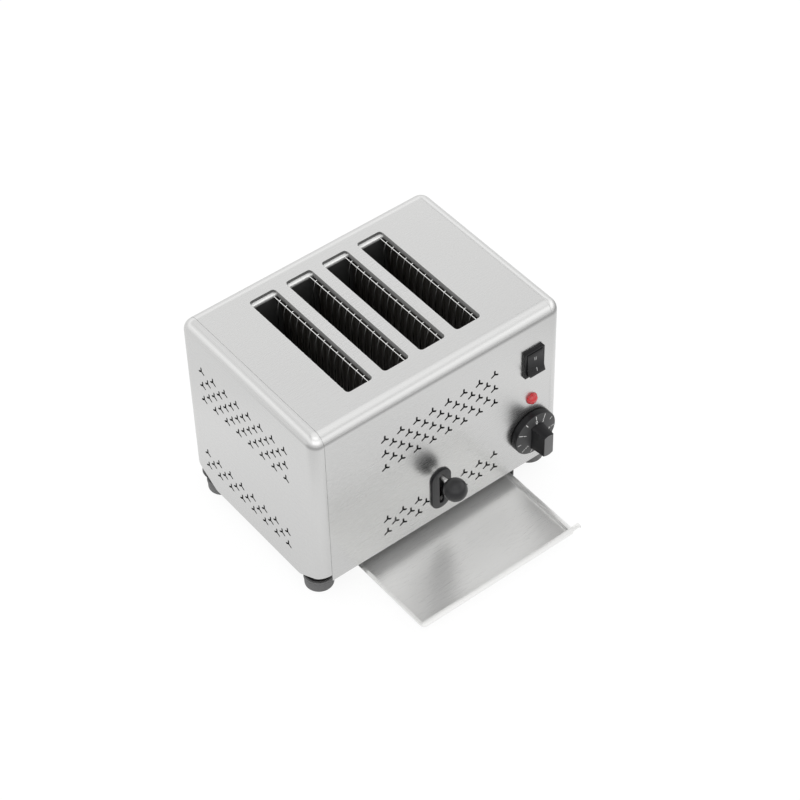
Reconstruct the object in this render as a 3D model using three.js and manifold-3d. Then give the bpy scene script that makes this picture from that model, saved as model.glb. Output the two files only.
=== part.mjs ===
// Four-slot catering toaster with a bent stainless casing, a lowering lever, a clockwork timer,
// a rocker switch, an indicator lamp and a crumb tray, shown pulled part of the way out.
// Millimetres. +Z is up, the controls face -Y, and +X is to the right seen from the controls.
// Inside this file X is measured from the middle of the casing, Y from the front sheet and
// Z from the surface that the feet stand on. The last group moves Y to the middle of the whole.

import * as THREE from "three";
import { mergeGeometries, mergeVertices } from "three/addons/utils/BufferGeometryUtils.js";
import Module from "manifold-3d";

const wasm = await Module();
wasm.setup();

// Casing
const caseWidth = 296;
const caseDepth = 213;
const caseHeight = 225;
const frontEdgeHeight = 26; // from the surface to the lower edge of the front sheet
const panEdgeHeight = 12; // from the surface to the lower edge of the side panels
const sheet = 0.8; // casing sheet
const fitGap = 0.3; // between pieces that only touch on the real thing
const cutOver = 2; // how far a cutting shape runs past what it cuts
const seamInset = 12; // from the side to the seam, and radius of the panels' rounded edges
const seamGap = 0.5;
const ballTip = 1.2; // what the bend radius has over the rounded edge
const bendRadius = seamInset + ballTip;
const toeRise = 22.5; // sloping cut at the lower corners of the side panels
const toeRun = 37;
const toeBlend = 8;
const joggleWidth = 6; // edge of a side panel that lies under the wrap

// Perforations with three arms at equal angles
const armLength = 5.3;
const armRootWidth = 1.8;
const starCorners = 6; // three tips with a root between each two
const starPitch = 18.9;
const upperRowPitch = 9.5;
const lowerRowPitch = 9;
const upperRowCounts = [8, 7, 8, 7, 8];
const lowerRowCounts = [8, 7, 8];
const upperRowHeight = 178.3; // top row of the upper fields
const lowerRowHeight = 66.5; // top row of the front's lower field
const sideLowerRowHeight = 59.8;
const frontFieldLeft = 67.4; // from the middle to the first column
const sideUpperFieldBack = 32.5; // from the back to the first column
const sideLowerFieldBack = 27.9;

// Bread slots
const slotCount = 4;
const slotPitch = 43;
const slotWidth = 27;
const slotLength = 153.5;
const slotFront = 33;
const slotMiddle = -6; // middle of the four slots
const slotCorner = 3.5;
const lipDepth = 2; // turned-down edge of each slot

// Toasting chamber
const chamberLeft = 98.6; // from the middle to the inner face of the left wall
const chamberRight = 91.2;
const innerSheet = 0.8;
const bulkheadFoot = 20; // height of the bulkheads' lower edges
const topFlange = 12.5;
const footFlange = 25;
const endLedge = 4; // how far the rear bulkhead stands forward in the slots
const boardThickness = 1;
const boardFoot = 48;
const boardHead = 216;
const boardNotches = 3;
const notchDepth = 2;
const notchWidth = 6;

// Wire guards
const railWire = 1.2;
const uprightWire = 0.9;
const uprightCount = 14;
const uprightPitch = 10.03;
const firstUpright = 41.9;
const railInset = 1.3; // from the slot's edge to the long wire
const guardLean = 2.5;
const guardLeanDrop = 8;
const stubReach = 1.9;
const weldBite = 0.25; // how far the welded wires sink into each other
const guardFoot = 52;

// Lift
const liftTravel = 34;
const rackTop = 138; // bread rests here with the lever up
const rackWidth = 8;
const rackDepth = 9;
const rackSheet = 1;
const rackEndGap = 2;
const tongueThickness = 1.6;
const tongueDepth = 8;
const tongueSlotGap = 0.8;
const carriageFront = 14;
const carriageDepth = 14;
const carriageSheet = 1.2;
const carriageHeight = 34;
const carriageOverhang = 4; // past the outer tongues
const rearBarBack = 2.7; // from the rear bulkhead to the rear lift bar
const rearBarHeight = 14;
const rodDiameter = 5;
const rodClearance = 0.4;
const rodOffset = 42; // from the lever to each guide rod
const springDiameter = 8.6; // middle of the wire
const springWire = 1.1;
const springCurls = 7;
const springSteps = 6;
const springSides = 3;

// Lever
const leverX = -2.5;
const ballDiameter = 24;
const ballReach = 23; // from the front sheet to the ball's middle
const armThickness = 3;
const armHeight = 3.2;
const armStopGap = 0.9; // left in the slot at both ends of the travel
const armFootWidth = 14;
const armFootHeight = 12;
const stemDiameter = 5;
const stemDepth = 9;
const tabWidth = 22;
const leverSlotWidth = 5.2;
const leverSlotTop = 85;
const sheetSlotMargin = 0.8; // the sheet's slot is wider than the escutcheon's by this on each side
const escutcheonWidth = 24;
const escutcheonHeight = 53;
const escutcheonThickness = 2.2;
const escutcheonEdge = 0.7;

// Holding magnet
const magnetWidth = 20;
const magnetDepth = 13;
const magnetYoke = 3;
const armatureThickness = 2;

// Control column
const columnX = 112.3;

// Timer
const timerHeight = 71;
const knobDiameter = 56;
const knobSkirt = 5.4;
const knobStandoff = 0.6; // from the front sheet to the back of the skirt
const knobEdge = 1.2;
const knobEdgeShare = 0.3; // of the edge, at its middle facet
const gripWidth = 11;
const gripHeight = 27;
const gripReach = 21;
const gripCrown = 1.6; // how far the ends of the grip bulge
const gripShares = [-1, -0.5, 0, 0.5, 1]; // of the grip's half width, across its ends
const gripTaper = 0.6;
const shaftDiameter = 6;
const shaftClearance = 0.3;
const shaftInKnob = 14;
const shaftInTimer = 8;
const timerWidth = 32;
const timerTall = 44;
const timerDepth = 26;
const shaftEndGap = 2.75;
const timerBush = 10; // diameter of the bush that passes through the front sheet

// Indicator lamp
const lampHeight = 115;
const lensDiameter = 13;
const lensDome = 4;
const lensRim = 1;
const lampBarrel = 9.4;
const lampDepth = 22;
const lampNut = 13;
const lampNutDepth = 5;
const barrelClearance = 0.3;

// Rocker switch
const switchHeight = 167;
const switchWidth = 24.5;
const switchTall = 33;
const bezelProud = 3;
const bezelRim = 2.4;
const switchBodyInset = 1.6;
const switchDepth = 24;
const rockerGap = 0.4;
const rockerTilt = 11; // degrees to each side
const rockerFace = 6.2; // from the front sheet to the ends of the face, rocker level
const rockerDip = 1.4; // hollow of the face at the middle
const rockerBack = 3.2;
const rockerSwing = 0.4; // room above and below the tilted rocker
const pivotReach = 1; // from the front sheet out to the pivot
const pocketFloor = 7.5;
const pinDiameter = 2.6;
const pinLength = 1;

// Feet
const footRadius = 14.7;
const footInset = 14.7; // from the side to the middle of a foot
const footFromFront = 26;
const footFromBack = 25;
const footTaper = 0.9;
const footPad = 9.6;
const collarRadius = 15.3;

// Base pan
const basePanTop = 15.4;
const basePanSheet = 1;
const basePanFlange = 11;
const basePanCorner = 13.6;
const basePanBack = 191.6; // front edge of its rear strip

// Crumb tray
const trayOut = 88; // how far it is pulled out
const trayReach = 6; // how far its lip stands out when it is pushed in
const trayTopHeight = 16.5;
const trayDepth = 6;
const traySheet = 0.8;
const trayLeft = 100; // from the middle to the left edge of its flange
const trayRight = 91.4;
const trayFlange = 4;
const trayLip = 6.5;
const trayCorner = 5;
const trayLength = 196;
const trayClearance = 0.5; // between its walls and the base pan
const earLength = 8.6;
const earWidth = 5;
const earSetback = 2;
const earFold = 2.4;

// Back of the casing
const glandX = 112;
const glandHeight = 48;
const glandBarrel = 11;
const glandFlange = 15;
const glandProud = 6;
const glandCollar = 2;
const glandInside = 6;
const glandBore = 7.4;
const blockWidth = 32;
const blockDepth = 15;
const blockHeight = 14;
const blockPoles = 3;
const blockBore = 5;
const blockBoreDepth = 4;

// Faces of round shapes
const bendSteps = 4;
const edgeSteps = 4;
const cornerSteps = 2;
const roundSteps = 3;
const dipSteps = 6;
const nutSides = 6;
const glandSides = 12;
const blockBoreSides = 8;
const wireSides = 3;
const smallSides = 10;
const footSides = 16;
const knobSides = 28;
const ballSides = 14;
const ballRings = 9;

// Levels and planes that several pieces share
const leverHeight = leverSlotTop - armStopGap - armHeight / 2;
const leverSlotFoot = leverSlotTop - liftTravel - armHeight - 2 * armStopGap;
const halfWidth = caseWidth / 2;
const seamX = halfWidth - seamInset;
const insideTop = caseHeight - sheet;
const flangeTop = caseHeight - lipDepth - sheet - fitGap;
const slotBack = slotFront + slotLength;
const frontBulkheadFace = slotFront - sheet - fitGap; // its rear face
const rearBulkheadFace = slotBack - endLedge; // its front face
const insideBack = caseDepth - sheet;
const leftWallX = -chamberLeft;
const rightWallX = chamberRight;
const basePanFoot = basePanTop - basePanSheet;
const trayFront = trayOut + trayReach; // in front of the front sheet
const slotCentres = Array.from(
  { length: slotCount },
  (_, index) => slotMiddle + (index - (slotCount - 1) / 2) * slotPitch
);
const boardCentres = Array.from(
  { length: slotCount + 1 },
  (_, index) => slotMiddle + (index - slotCount / 2) * slotPitch
);

// Materials
function finish(colour, roughness, metalness) {
  return { color: colour, roughness, metalness };
}

const stainless = finish(0xc9c9c7, 0.32, 1);
const dullSteel = finish(0x8f8f8e, 0.5, 1);
const brightWire = finish(0xd8d8d6, 0.25, 1);
const blackPlastic = finish(0x16161a, 0.45, 0);
const greyRubber = finish(0x6a6a6a, 0.8, 0);
const mica = finish(0x3b362f, 0.75, 0);
const redLens = finish(0xb3171c, 0.2, 0);
const palePlastic = finish(0xd9d4c6, 0.6, 0);

// Solids, planes and directions

// A closed mesh as a solid: shared vertices are merged, collapsed faces go, and faces point out.
function toSolid(geometry) {
  const bare = geometry.index ? geometry.toNonIndexed() : geometry.clone();
  bare.deleteAttribute("normal");
  bare.deleteAttribute("uv");
  const merged = mergeVertices(bare);
  const source = merged.index.array;
  const corners = [];
  for (let face = 0; face < source.length; face += 3) {
    const [a, b, c] = [source[face], source[face + 1], source[face + 2]];
    if (a !== b && b !== c && c !== a) {
      corners.push(a, b, c);
    }
  }
  const points = merged.attributes.position.array;
  if (signedVolume(points, corners) < 0) {
    for (let face = 0; face < corners.length; face += 3) {
      [corners[face + 1], corners[face + 2]] = [corners[face + 2], corners[face + 1]];
    }
  }
  const mesh = new wasm.Mesh({
    numProp: 3,
    vertProperties: new Float32Array(points),
    triVerts: new Uint32Array(corners),
  });
  return new wasm.Manifold(mesh);
}

function signedVolume(points, corners) {
  const [a, b, c] = [new THREE.Vector3(), new THREE.Vector3(), new THREE.Vector3()];
  let volume = 0;
  for (let face = 0; face < corners.length; face += 3) {
    a.fromArray(points, corners[face] * 3);
    b.fromArray(points, corners[face + 1] * 3);
    c.fromArray(points, corners[face + 2] * 3);
    volume += a.dot(b.cross(c));
  }
  return volume;
}

function toGeometry(solid) {
  const { vertProperties, triVerts, numProp } = solid.getMesh();
  const points = new Float32Array((vertProperties.length / numProp) * 3);
  for (let index = 0; index < points.length / 3; index += 1) {
    points.set(vertProperties.subarray(index * numProp, index * numProp + 3), index * 3);
  }
  const geometry = new THREE.BufferGeometry();
  geometry.setAttribute("position", new THREE.BufferAttribute(points, 3));
  geometry.setIndex(new THREE.BufferAttribute(new Uint32Array(triVerts), 1));
  geometry.computeVertexNormals();
  return geometry;
}

// Separate closed meshes as one group of solids
function together(geometries) {
  const bare = geometries.map((geometry) => {
    const copy = geometry.index ? geometry.toNonIndexed() : geometry.clone();
    copy.deleteAttribute("normal");
    copy.deleteAttribute("uv");
    return copy;
  });
  return toSolid(mergeGeometries(bare));
}

function joined(first, ...others) {
  return others.reduce((whole, other) => whole.add(other), first);
}

function cut(first, ...others) {
  return others.reduce((whole, other) => whole.subtract(other), first);
}

// A box from its low and high corners
function block(x0, x1, y0, y1, z0, z1) {
  const geometry = new THREE.BoxGeometry(x1 - x0, y1 - y0, z1 - z0);
  geometry.translate((x0 + x1) / 2, (y0 + y1) / 2, (z0 + z1) / 2);
  return geometry;
}

function blockSolid(...corners) {
  return toSolid(block(...corners));
}

const turnToXZ = new THREE.Matrix4().makeBasis(
  new THREE.Vector3(1, 0, 0),
  new THREE.Vector3(0, 0, 1),
  new THREE.Vector3(0, -1, 0)
);
const turnToYZ = new THREE.Matrix4().makeBasis(
  new THREE.Vector3(0, 1, 0),
  new THREE.Vector3(0, 0, 1),
  new THREE.Vector3(1, 0, 0)
);

function extruded(shape, depth, curveSegments) {
  return new THREE.ExtrudeGeometry(shape, { depth, curveSegments, bevelEnabled: false });
}

// An outline drawn in X and Z, between two values of Y
function slabXZ(shape, y0, y1, curveSegments = bendSteps) {
  const geometry = extruded(shape, y1 - y0, curveSegments);
  geometry.applyMatrix4(turnToXZ);
  geometry.translate(0, y1, 0);
  return geometry;
}

// An outline drawn in Y and Z, between two values of X
function slabYZ(shape, x0, x1, curveSegments = bendSteps) {
  const geometry = extruded(shape, x1 - x0, curveSegments);
  geometry.applyMatrix4(turnToYZ);
  geometry.translate(x0, 0, 0);
  return geometry;
}

// An outline drawn in X and Y, between two values of Z
function slabXY(shape, z0, z1, curveSegments = bendSteps) {
  const geometry = extruded(shape, z1 - z0, curveSegments);
  geometry.translate(0, 0, z0);
  return geometry;
}

function polygon(points) {
  const shape = new THREE.Shape();
  points.forEach(([u, v], index) => (index === 0 ? shape.moveTo(u, v) : shape.lineTo(u, v)));
  shape.closePath();
  return shape;
}

function roundedRectangle(u0, u1, v0, v1, radius) {
  const shape = new THREE.Shape();
  shape.moveTo(u0 + radius, v0);
  shape.lineTo(u1 - radius, v0);
  shape.absarc(u1 - radius, v0 + radius, radius, -Math.PI / 2, 0);
  shape.lineTo(u1, v1 - radius);
  shape.absarc(u1 - radius, v1 - radius, radius, 0, Math.PI / 2);
  shape.lineTo(u0 + radius, v1);
  shape.absarc(u0 + radius, v1 - radius, radius, Math.PI / 2, Math.PI);
  shape.lineTo(u0, v0 + radius);
  shape.absarc(u0 + radius, v0 + radius, radius, Math.PI, Math.PI * 1.5);
  return shape;
}

// A round bar along one axis, from one place on it to another
function barX(radius, x0, x1, y, z, sides = smallSides) {
  const geometry = new THREE.CylinderGeometry(radius, radius, x1 - x0, sides);
  geometry.rotateZ(Math.PI / 2);
  geometry.translate((x0 + x1) / 2, y, z);
  return geometry;
}

function barY(radius, x, y0, y1, z, sides = smallSides) {
  const geometry = new THREE.CylinderGeometry(radius, radius, y1 - y0, sides);
  geometry.translate(x, (y0 + y1) / 2, z);
  return geometry;
}

function barZ(radius, x, y, z0, z1, sides = smallSides) {
  const geometry = new THREE.CylinderGeometry(radius, radius, z1 - z0, sides);
  geometry.rotateX(Math.PI / 2);
  geometry.translate(x, y, (z0 + z1) / 2);
  return geometry;
}

// A turned piece: pairs of radius and height, with the heights along +Z
function turnedZ(profile, sides) {
  const points = profile.map(([radius, height]) => new THREE.Vector2(radius, height));
  const geometry = new THREE.LatheGeometry(points, sides);
  geometry.rotateX(Math.PI / 2);
  return geometry;
}

// The same with the heights along -Y, out of the front
function turnedOut(profile, sides) {
  const points = profile.map(([radius, height]) => new THREE.Vector2(radius, height));
  const geometry = new THREE.LatheGeometry(points, sides);
  geometry.rotateX(Math.PI);
  return geometry;
}

// A skin through rings of as many points each, closed by flat ends
function lofted(rings) {
  const count = rings[0].length;
  const points = rings.flat().flatMap((point) => [point.x, point.y, point.z]);
  const faces = [];
  for (let ring = 0; ring + 1 < rings.length; ring += 1) {
    for (let index = 0; index < count; index += 1) {
      const next = (index + 1) % count;
      const [a, b] = [ring * count + index, ring * count + next];
      const [c, d] = [a + count, b + count];
      faces.push(a, b, d, a, d, c);
    }
  }
  faces.push(...capFaces(rings[0], 0, true));
  faces.push(...capFaces(rings[rings.length - 1], (rings.length - 1) * count, false));
  const geometry = new THREE.BufferGeometry();
  geometry.setAttribute("position", new THREE.Float32BufferAttribute(points, 3));
  geometry.setIndex(faces);
  return geometry;
}

// A flat ring of points, seen along the axis that it is square to
function capFaces(ring, offset, turned) {
  const spread = (axis) => {
    const values = ring.map((point) => point[axis]);
    return Math.max(...values) - Math.min(...values);
  };
  const axes = ["x", "y", "z"].sort((one, other) => spread(other) - spread(one)).slice(0, 2);
  const flat = ring.map((point) => new THREE.Vector2(point[axes[0]], point[axes[1]]));
  const clockwise = THREE.ShapeUtils.isClockWise(flat);
  const triangles = THREE.ShapeUtils.triangulateShape(flat, []);
  const normalWay = clockwise === turned;
  return triangles.flatMap(([a, b, c]) => {
    const corners = normalWay ? [a, b, c] : [a, c, b];
    return corners.map((corner) => corner + offset);
  });
}

// The assembly and its moving groups
const toaster = new THREE.Group();
const chassis = new THREE.Group();
const lift = new THREE.Group();
const timerControl = new THREE.Group();
const rockerControl = new THREE.Group();
const tray = new THREE.Group();
toaster.add(chassis, lift, timerControl, rockerControl, tray);

function place(group, name, shape, look, x = 0, y = 0, z = 0) {
  const geometry = shape.isBufferGeometry ? toGeometry(toSolid(shape)) : toGeometry(shape);
  const mesh = new THREE.Mesh(geometry, new THREE.MeshStandardMaterial(look));
  mesh.name = name;
  mesh.position.set(x, y, z);
  group.add(mesh);
  return mesh;
}

// Perforations

// One perforation: an arm points up, the other two down to each side, each narrowing to its tip.
function starShape(u, v) {
  const armAngle = (Math.PI * 2) / 3;
  const rootRadius = armRootWidth / 2 / Math.sin(armAngle / 2);
  const points = Array.from({ length: starCorners }, (_, corner) => {
    const direction = Math.PI / 2 + (corner * armAngle) / 2;
    const radius = corner % 2 === 0 ? armLength : rootRadius;
    return [u + Math.cos(direction) * radius, v + Math.sin(direction) * radius];
  });
  return polygon(points);
}

// Centres of a field whose odd rows are shifted by half a column
function fieldCentres(firstColumn, topRow, rowPitch, rowCounts, direction) {
  return rowCounts.flatMap((count, row) =>
    Array.from({ length: count }, (_, column) => [
      firstColumn + direction * (column + (row % 2) / 2) * starPitch,
      topRow - row * rowPitch,
    ])
  );
}

function clearOfEscutcheon([x, z]) {
  const middle = (leverSlotTop + leverSlotFoot) / 2;
  const acrossRoom = escutcheonWidth / 2;
  const upRoom = escutcheonHeight / 2;
  return Math.abs(x - leverX) > acrossRoom || Math.abs(z - middle) > upRoom;
}

const frontStars = [
  ...fieldCentres(-frontFieldLeft, upperRowHeight, upperRowPitch, upperRowCounts, 1),
  ...fieldCentres(-frontFieldLeft, lowerRowHeight, lowerRowPitch, lowerRowCounts, 1),
].filter(clearOfEscutcheon);

const sideStars = [
  ...fieldCentres(
    caseDepth - sideUpperFieldBack,
    upperRowHeight,
    upperRowPitch,
    upperRowCounts,
    -1
  ),
  ...fieldCentres(
    caseDepth - sideLowerFieldBack,
    sideLowerRowHeight,
    lowerRowPitch,
    lowerRowCounts,
    -1
  ),
];

// Casing

// Side view of a bent sheet that goes up the front, over the top and down the back
function wrapProfile(inset, footFront, footBack) {
  const radius = Math.max(bendRadius - inset, 0);
  const [front, back, top] = [inset, caseDepth - inset, caseHeight - inset];
  const points = [[front, footFront]];
  for (let step = 0; step <= bendSteps; step += 1) {
    const angle = ((step / bendSteps) * Math.PI) / 2;
    points.push([
      front + radius - radius * Math.cos(angle),
      top - radius + radius * Math.sin(angle),
    ]);
  }
  for (let step = bendSteps; step >= 0; step -= 1) {
    const angle = ((step / bendSteps) * Math.PI) / 2;
    points.push([
      back - radius + radius * Math.cos(angle),
      top - radius + radius * Math.sin(angle),
    ]);
  }
  points.push([back, footBack]);
  return points;
}

function slotOutline(centre, margin) {
  return roundedRectangle(
    centre - slotWidth / 2 - margin,
    centre + slotWidth / 2 + margin,
    slotFront - margin,
    slotBack + margin,
    slotCorner + margin
  );
}

// Straight slot with round ends, upright
function stadium(x, foot, top, width) {
  const radius = width / 2;
  const shape = new THREE.Shape();
  shape.moveTo(x + radius, foot + radius);
  shape.lineTo(x + radius, top - radius);
  shape.absarc(x, top - radius, radius, 0, Math.PI);
  shape.lineTo(x - radius, foot + radius);
  shape.absarc(x, foot + radius, radius, Math.PI, Math.PI * 2);
  return shape;
}

function wrapCover() {
  const backFoot = basePanTop + fitGap;
  const outer = wrapProfile(0, frontEdgeHeight, backFoot);
  const inner = wrapProfile(sheet, frontEdgeHeight, backFoot).reverse();
  const half = seamX - seamGap;
  const shell = toSolid(slabYZ(polygon([...outer, ...inner]), -half, half));
  const lips = together(
    slotCentres.map((centre) =>
      slabXY(slotOutline(centre, sheet), insideTop - lipDepth, caseHeight - sheet / 2, cornerSteps)
    )
  );
  const slots = together(
    slotCentres.map((centre) =>
      slabXY(slotOutline(centre, 0), insideTop - lipDepth - cutOver, caseHeight + cutOver, cornerSteps)
    )
  );
  const stars = together(
    frontStars.map(([x, z]) => slabXZ(starShape(x, z), -cutOver, sheet + cutOver))
  );
  const leverSlot = stadium(
    leverX,
    leverSlotFoot - sheetSlotMargin,
    leverSlotTop + sheetSlotMargin,
    leverSlotWidth + 2 * sheetSlotMargin
  );
  const switchHole = block(
    columnX - switchWidth / 2 + switchBodyInset - fitGap,
    columnX + switchWidth / 2 - switchBodyInset + fitGap,
    -cutOver,
    sheet + cutOver,
    switchHeight - switchTall / 2 + switchBodyInset - fitGap,
    switchHeight + switchTall / 2 - switchBodyInset + fitGap
  );
  const frontHoles = together([
    slabXZ(leverSlot, -cutOver, sheet + cutOver),
    switchHole,
    barY(timerBush / 2 + fitGap, columnX, -cutOver, sheet + cutOver, timerHeight),
    barY(lampBarrel / 2 + barrelClearance, columnX, -cutOver, sheet + cutOver, lampHeight),
  ]);
  const backHoles = together([
    barY(glandBarrel / 2 + fitGap, glandX, insideBack - cutOver, caseDepth + cutOver, glandHeight),
  ]);
  return cut(joined(shell, lips), slots, stars, frontHoles, backHoles);
}

// One ring of a side panel: the wrap's profile drawn in by an inset, at a distance from the side
function panRing(distance, inset, foot) {
  return wrapProfile(inset, foot, foot).map(([y, z]) => new THREE.Vector3(distance, y, z));
}

// Rounded edge of a side panel, offset inwards by a wall
function panSkin(wall, foot, mouthOver) {
  const joggle = sheet + fitGap + wall;
  const rings = [
    panRing(seamInset + joggleWidth + mouthOver, joggle, foot),
    panRing(seamInset - wall, joggle, foot),
  ];
  const radius = seamInset - wall;
  for (let step = 0; step <= edgeSteps; step += 1) {
    const angle = ((step / edgeSteps) * Math.PI) / 2;
    const distance = seamInset - radius * Math.sin(angle) - (step === 0 ? wall : 0);
    rings.push(panRing(distance, wall + radius - radius * Math.cos(angle), foot));
  }
  return toSolid(lofted(rings));
}

// Sloping cut at a lower corner, drawn from the front edge
function toeShape() {
  const slope = Math.atan2(toeRise, toeRun);
  const blendRun = toeBlend * Math.tan(slope / 2);
  const low = panEdgeHeight;
  const shape = new THREE.Shape();
  shape.moveTo(-cutOver, low + toeRise + (cutOver * toeRise) / toeRun);
  shape.lineTo(toeRun - blendRun * Math.cos(slope), low + blendRun * Math.sin(slope));
  shape.quadraticCurveTo(toeRun, low, toeRun + blendRun, low);
  shape.lineTo(toeRun + blendRun, low - cutOver);
  shape.lineTo(-cutOver, low - cutOver);
  shape.closePath();
  return shape;
}

// A left side panel whose flat side lies at X zero; side is -1 for the left and 1 for the right.
function sidePanel(side) {
  const skin = panSkin(0, panEdgeHeight, 0);
  const hollow = panSkin(sheet, panEdgeHeight - cutOver, cutOver);
  const reach = seamInset + joggleWidth + cutOver;
  const frontToe = slabYZ(toeShape(), -cutOver, reach, roundSteps);
  const backToe = frontToe.clone();
  backToe.scale(1, -1, 1);
  backToe.translate(0, caseDepth, 0);
  const stars = together(
    sideStars.map(([y, z]) => slabYZ(starShape(y, z), -cutOver, sheet + cutOver))
  );
  const panel = cut(skin, hollow, toSolid(frontToe), toSolid(backToe), stars);
  const geometry = toGeometry(panel);
  geometry.scale(-side, 1, 1);
  return geometry;
}

// Plate under the casing: strips at both sides and at the back, open at the front for the tray
function basePan() {
  const outerX = halfWidth - sheet - fitGap;
  const back = insideBack - fitGap;
  const front = footFromFront - basePanCorner;
  const plate = roundedRectangle(-outerX, outerX, front, back, basePanCorner);
  const bay = block(
    -trayLeft + trayFlange - traySheet - trayClearance,
    trayRight - trayFlange + traySheet + trayClearance,
    front - cutOver,
    basePanBack,
    basePanFoot - cutOver,
    basePanTop + cutOver
  );
  const flangeFront = toeRun + toeBlend;
  const flanges = [-1, 1].map((side) => {
    const inner = side * (outerX - basePanSheet);
    const [low, high] = [Math.min(inner, side * outerX), Math.max(inner, side * outerX)];
    return blockSolid(
      low,
      high,
      flangeFront,
      caseDepth - flangeFront,
      basePanFoot,
      basePanFoot + basePanFlange
    );
  });
  const body = joined(toSolid(slabXY(plate, basePanFoot, basePanTop)), ...flanges);
  return cut(body, toSolid(bay));
}

const footX = halfWidth - footInset;
const footPlaces = [
  [-footX, footFromFront],
  [footX, footFromFront],
  [-footX, caseDepth - footFromBack],
  [footX, caseDepth - footFromBack],
];

// Toasting chamber

// Bent plate across the chamber, drawn in Y and Z: turned over at the top, and at the foot if asked
function bulkheadProfile(face, away, foot) {
  const inner = face + away * innerSheet;
  const top = [face + away * topFlange, flangeTop];
  const points = [
    [face, bulkheadFoot],
    [face, flangeTop],
    top,
    [top[0], flangeTop - innerSheet],
    [inner, flangeTop - innerSheet],
  ];
  if (foot > 0) {
    points.push(
      [inner, bulkheadFoot + innerSheet],
      [face + away * foot, bulkheadFoot + innerSheet],
      [face + away * foot, bulkheadFoot]
    );
  } else {
    points.push([inner, bulkheadFoot]);
  }
  return points;
}

function tongueSlots(y0, y1) {
  const half = tongueThickness / 2 + tongueSlotGap;
  const foot = rackTop - rackDepth - liftTravel - tongueSlotGap;
  const head = rackTop - rackDepth + tongueDepth + tongueSlotGap;
  return together(slotCentres.map((x) => block(x - half, x + half, y0, y1, foot, head)));
}

function frontBulkhead() {
  const [left, right] = [leftWallX + fitGap, rightWallX - fitGap];
  const profile = bulkheadProfile(frontBulkheadFace, -1, footFlange);
  const plate = toSolid(slabYZ(polygon(profile), left, right));
  const face = frontBulkheadFace;
  const rodHoles = together(
    rodPlaces.map((x) => barZ(rodDiameter / 2 + fitGap, x, rodY, flangeTop - cutOver, caseHeight))
  );
  return cut(plate, tongueSlots(face - cutOver, face + cutOver), rodHoles);
}

function rearBulkhead() {
  const [left, right] = [leftWallX + fitGap, rightWallX - fitGap];
  const profile = bulkheadProfile(rearBulkheadFace, 1, 0);
  const plate = toSolid(slabYZ(polygon(profile), left, right));
  return cut(plate, tongueSlots(rearBulkheadFace - cutOver, rearBulkheadFace + cutOver));
}

// Wall at one side of the chamber, from the front sheet to the back, just above the tray's flange
function chamberWall(inner, away) {
  const outer = inner + away * innerSheet;
  const foot = trayTopHeight + fitGap;
  const top = insideTop - fitGap;
  const ends = [sheet + fitGap, insideBack - fitGap];
  const profile = [
    [inner, foot],
    [inner, top],
    [inner + away * topFlange, top],
    [inner + away * topFlange, top - innerSheet],
    [outer, top - innerSheet],
    [outer, foot],
  ];
  return toSolid(slabXZ(polygon(profile), bendRadius, ends[1] - bendRadius)).add(
    blockSolid(
      Math.min(inner, outer),
      Math.max(inner, outer),
      ends[0],
      ends[1],
      foot,
      caseHeight - bendRadius
    )
  );
}

// Mica board with notches at its upper and lower edges, where the heating ribbon goes round
function heaterBoard() {
  const front = frontBulkheadFace + fitGap;
  const back = rearBulkheadFace - fitGap;
  const pitch = (back - front) / (boardNotches + 1);
  const notchStarts = Array.from(
    { length: boardNotches },
    (_, index) => front + (index + 1) * pitch - notchWidth / 2
  );
  const points = [[front, boardFoot]];
  notchStarts.forEach((y) => {
    points.push([y, boardFoot], [y, boardFoot + notchDepth]);
    points.push([y + notchWidth, boardFoot + notchDepth], [y + notchWidth, boardFoot]);
  });
  points.push([back, boardFoot], [back, boardHead]);
  [...notchStarts].reverse().forEach((y) => {
    points.push([y + notchWidth, boardHead], [y + notchWidth, boardHead - notchDepth]);
    points.push([y, boardHead - notchDepth], [y, boardHead]);
  });
  points.push([front, boardHead]);
  return slabYZ(polygon(points), -boardThickness / 2, boardThickness / 2);
}

// Wires

// A square ring round a point of a wire that runs in X and Z, across its heading there
function wireRing(point, y, heading, radius, widen) {
  return Array.from({ length: wireSides }, (_, side) => {
    const angle = ((side + 0.5) / wireSides) * Math.PI * 2;
    const across = Math.cos(angle) * radius * Math.SQRT2 * widen;
    const along = Math.sin(angle) * radius * Math.SQRT2;
    return new THREE.Vector3(
      point.x - across * heading.y,
      y + along,
      point.y + across * heading.x
    );
  });
}

// Upright wire that hooks over the long wire, leans into the slot and then runs straight down.
// It is drawn for the guard on the right of a slot, with X from the slot's middle.
function uprightPath() {
  const railX = slotWidth / 2 - railInset;
  const underside = (uprightWire / 2) * Math.SQRT2 * Math.cos(Math.PI / wireSides);
  const hookZ = railHeight + railWire / 2 + underside - weldBite;
  return [
    [railX + stubReach, hookZ],
    [railX - railWire / 2 - uprightWire / 2, hookZ],
    [railX - guardLean, railHeight - guardLeanDrop],
    [railX - guardLean, guardFoot],
  ];
}

const railHeight = flangeTop + fitGap - uprightWire - railWire / 2;

function uprightWireAt(y) {
  const path = uprightPath().map(([x, z]) => new THREE.Vector2(x, z));
  const last = path.length - 1;
  const ways = path.slice(1).map((point, index) => point.clone().sub(path[index]).normalize());
  const rings = path.map((point, index) => {
    const into = ways[Math.max(index - 1, 0)];
    const outOf = ways[Math.min(index, last - 1)];
    const heading = into.clone().add(outOf).normalize();
    return wireRing(point, y, heading, uprightWire / 2, 1 / heading.dot(into));
  });
  return lofted(rings);
}

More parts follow.
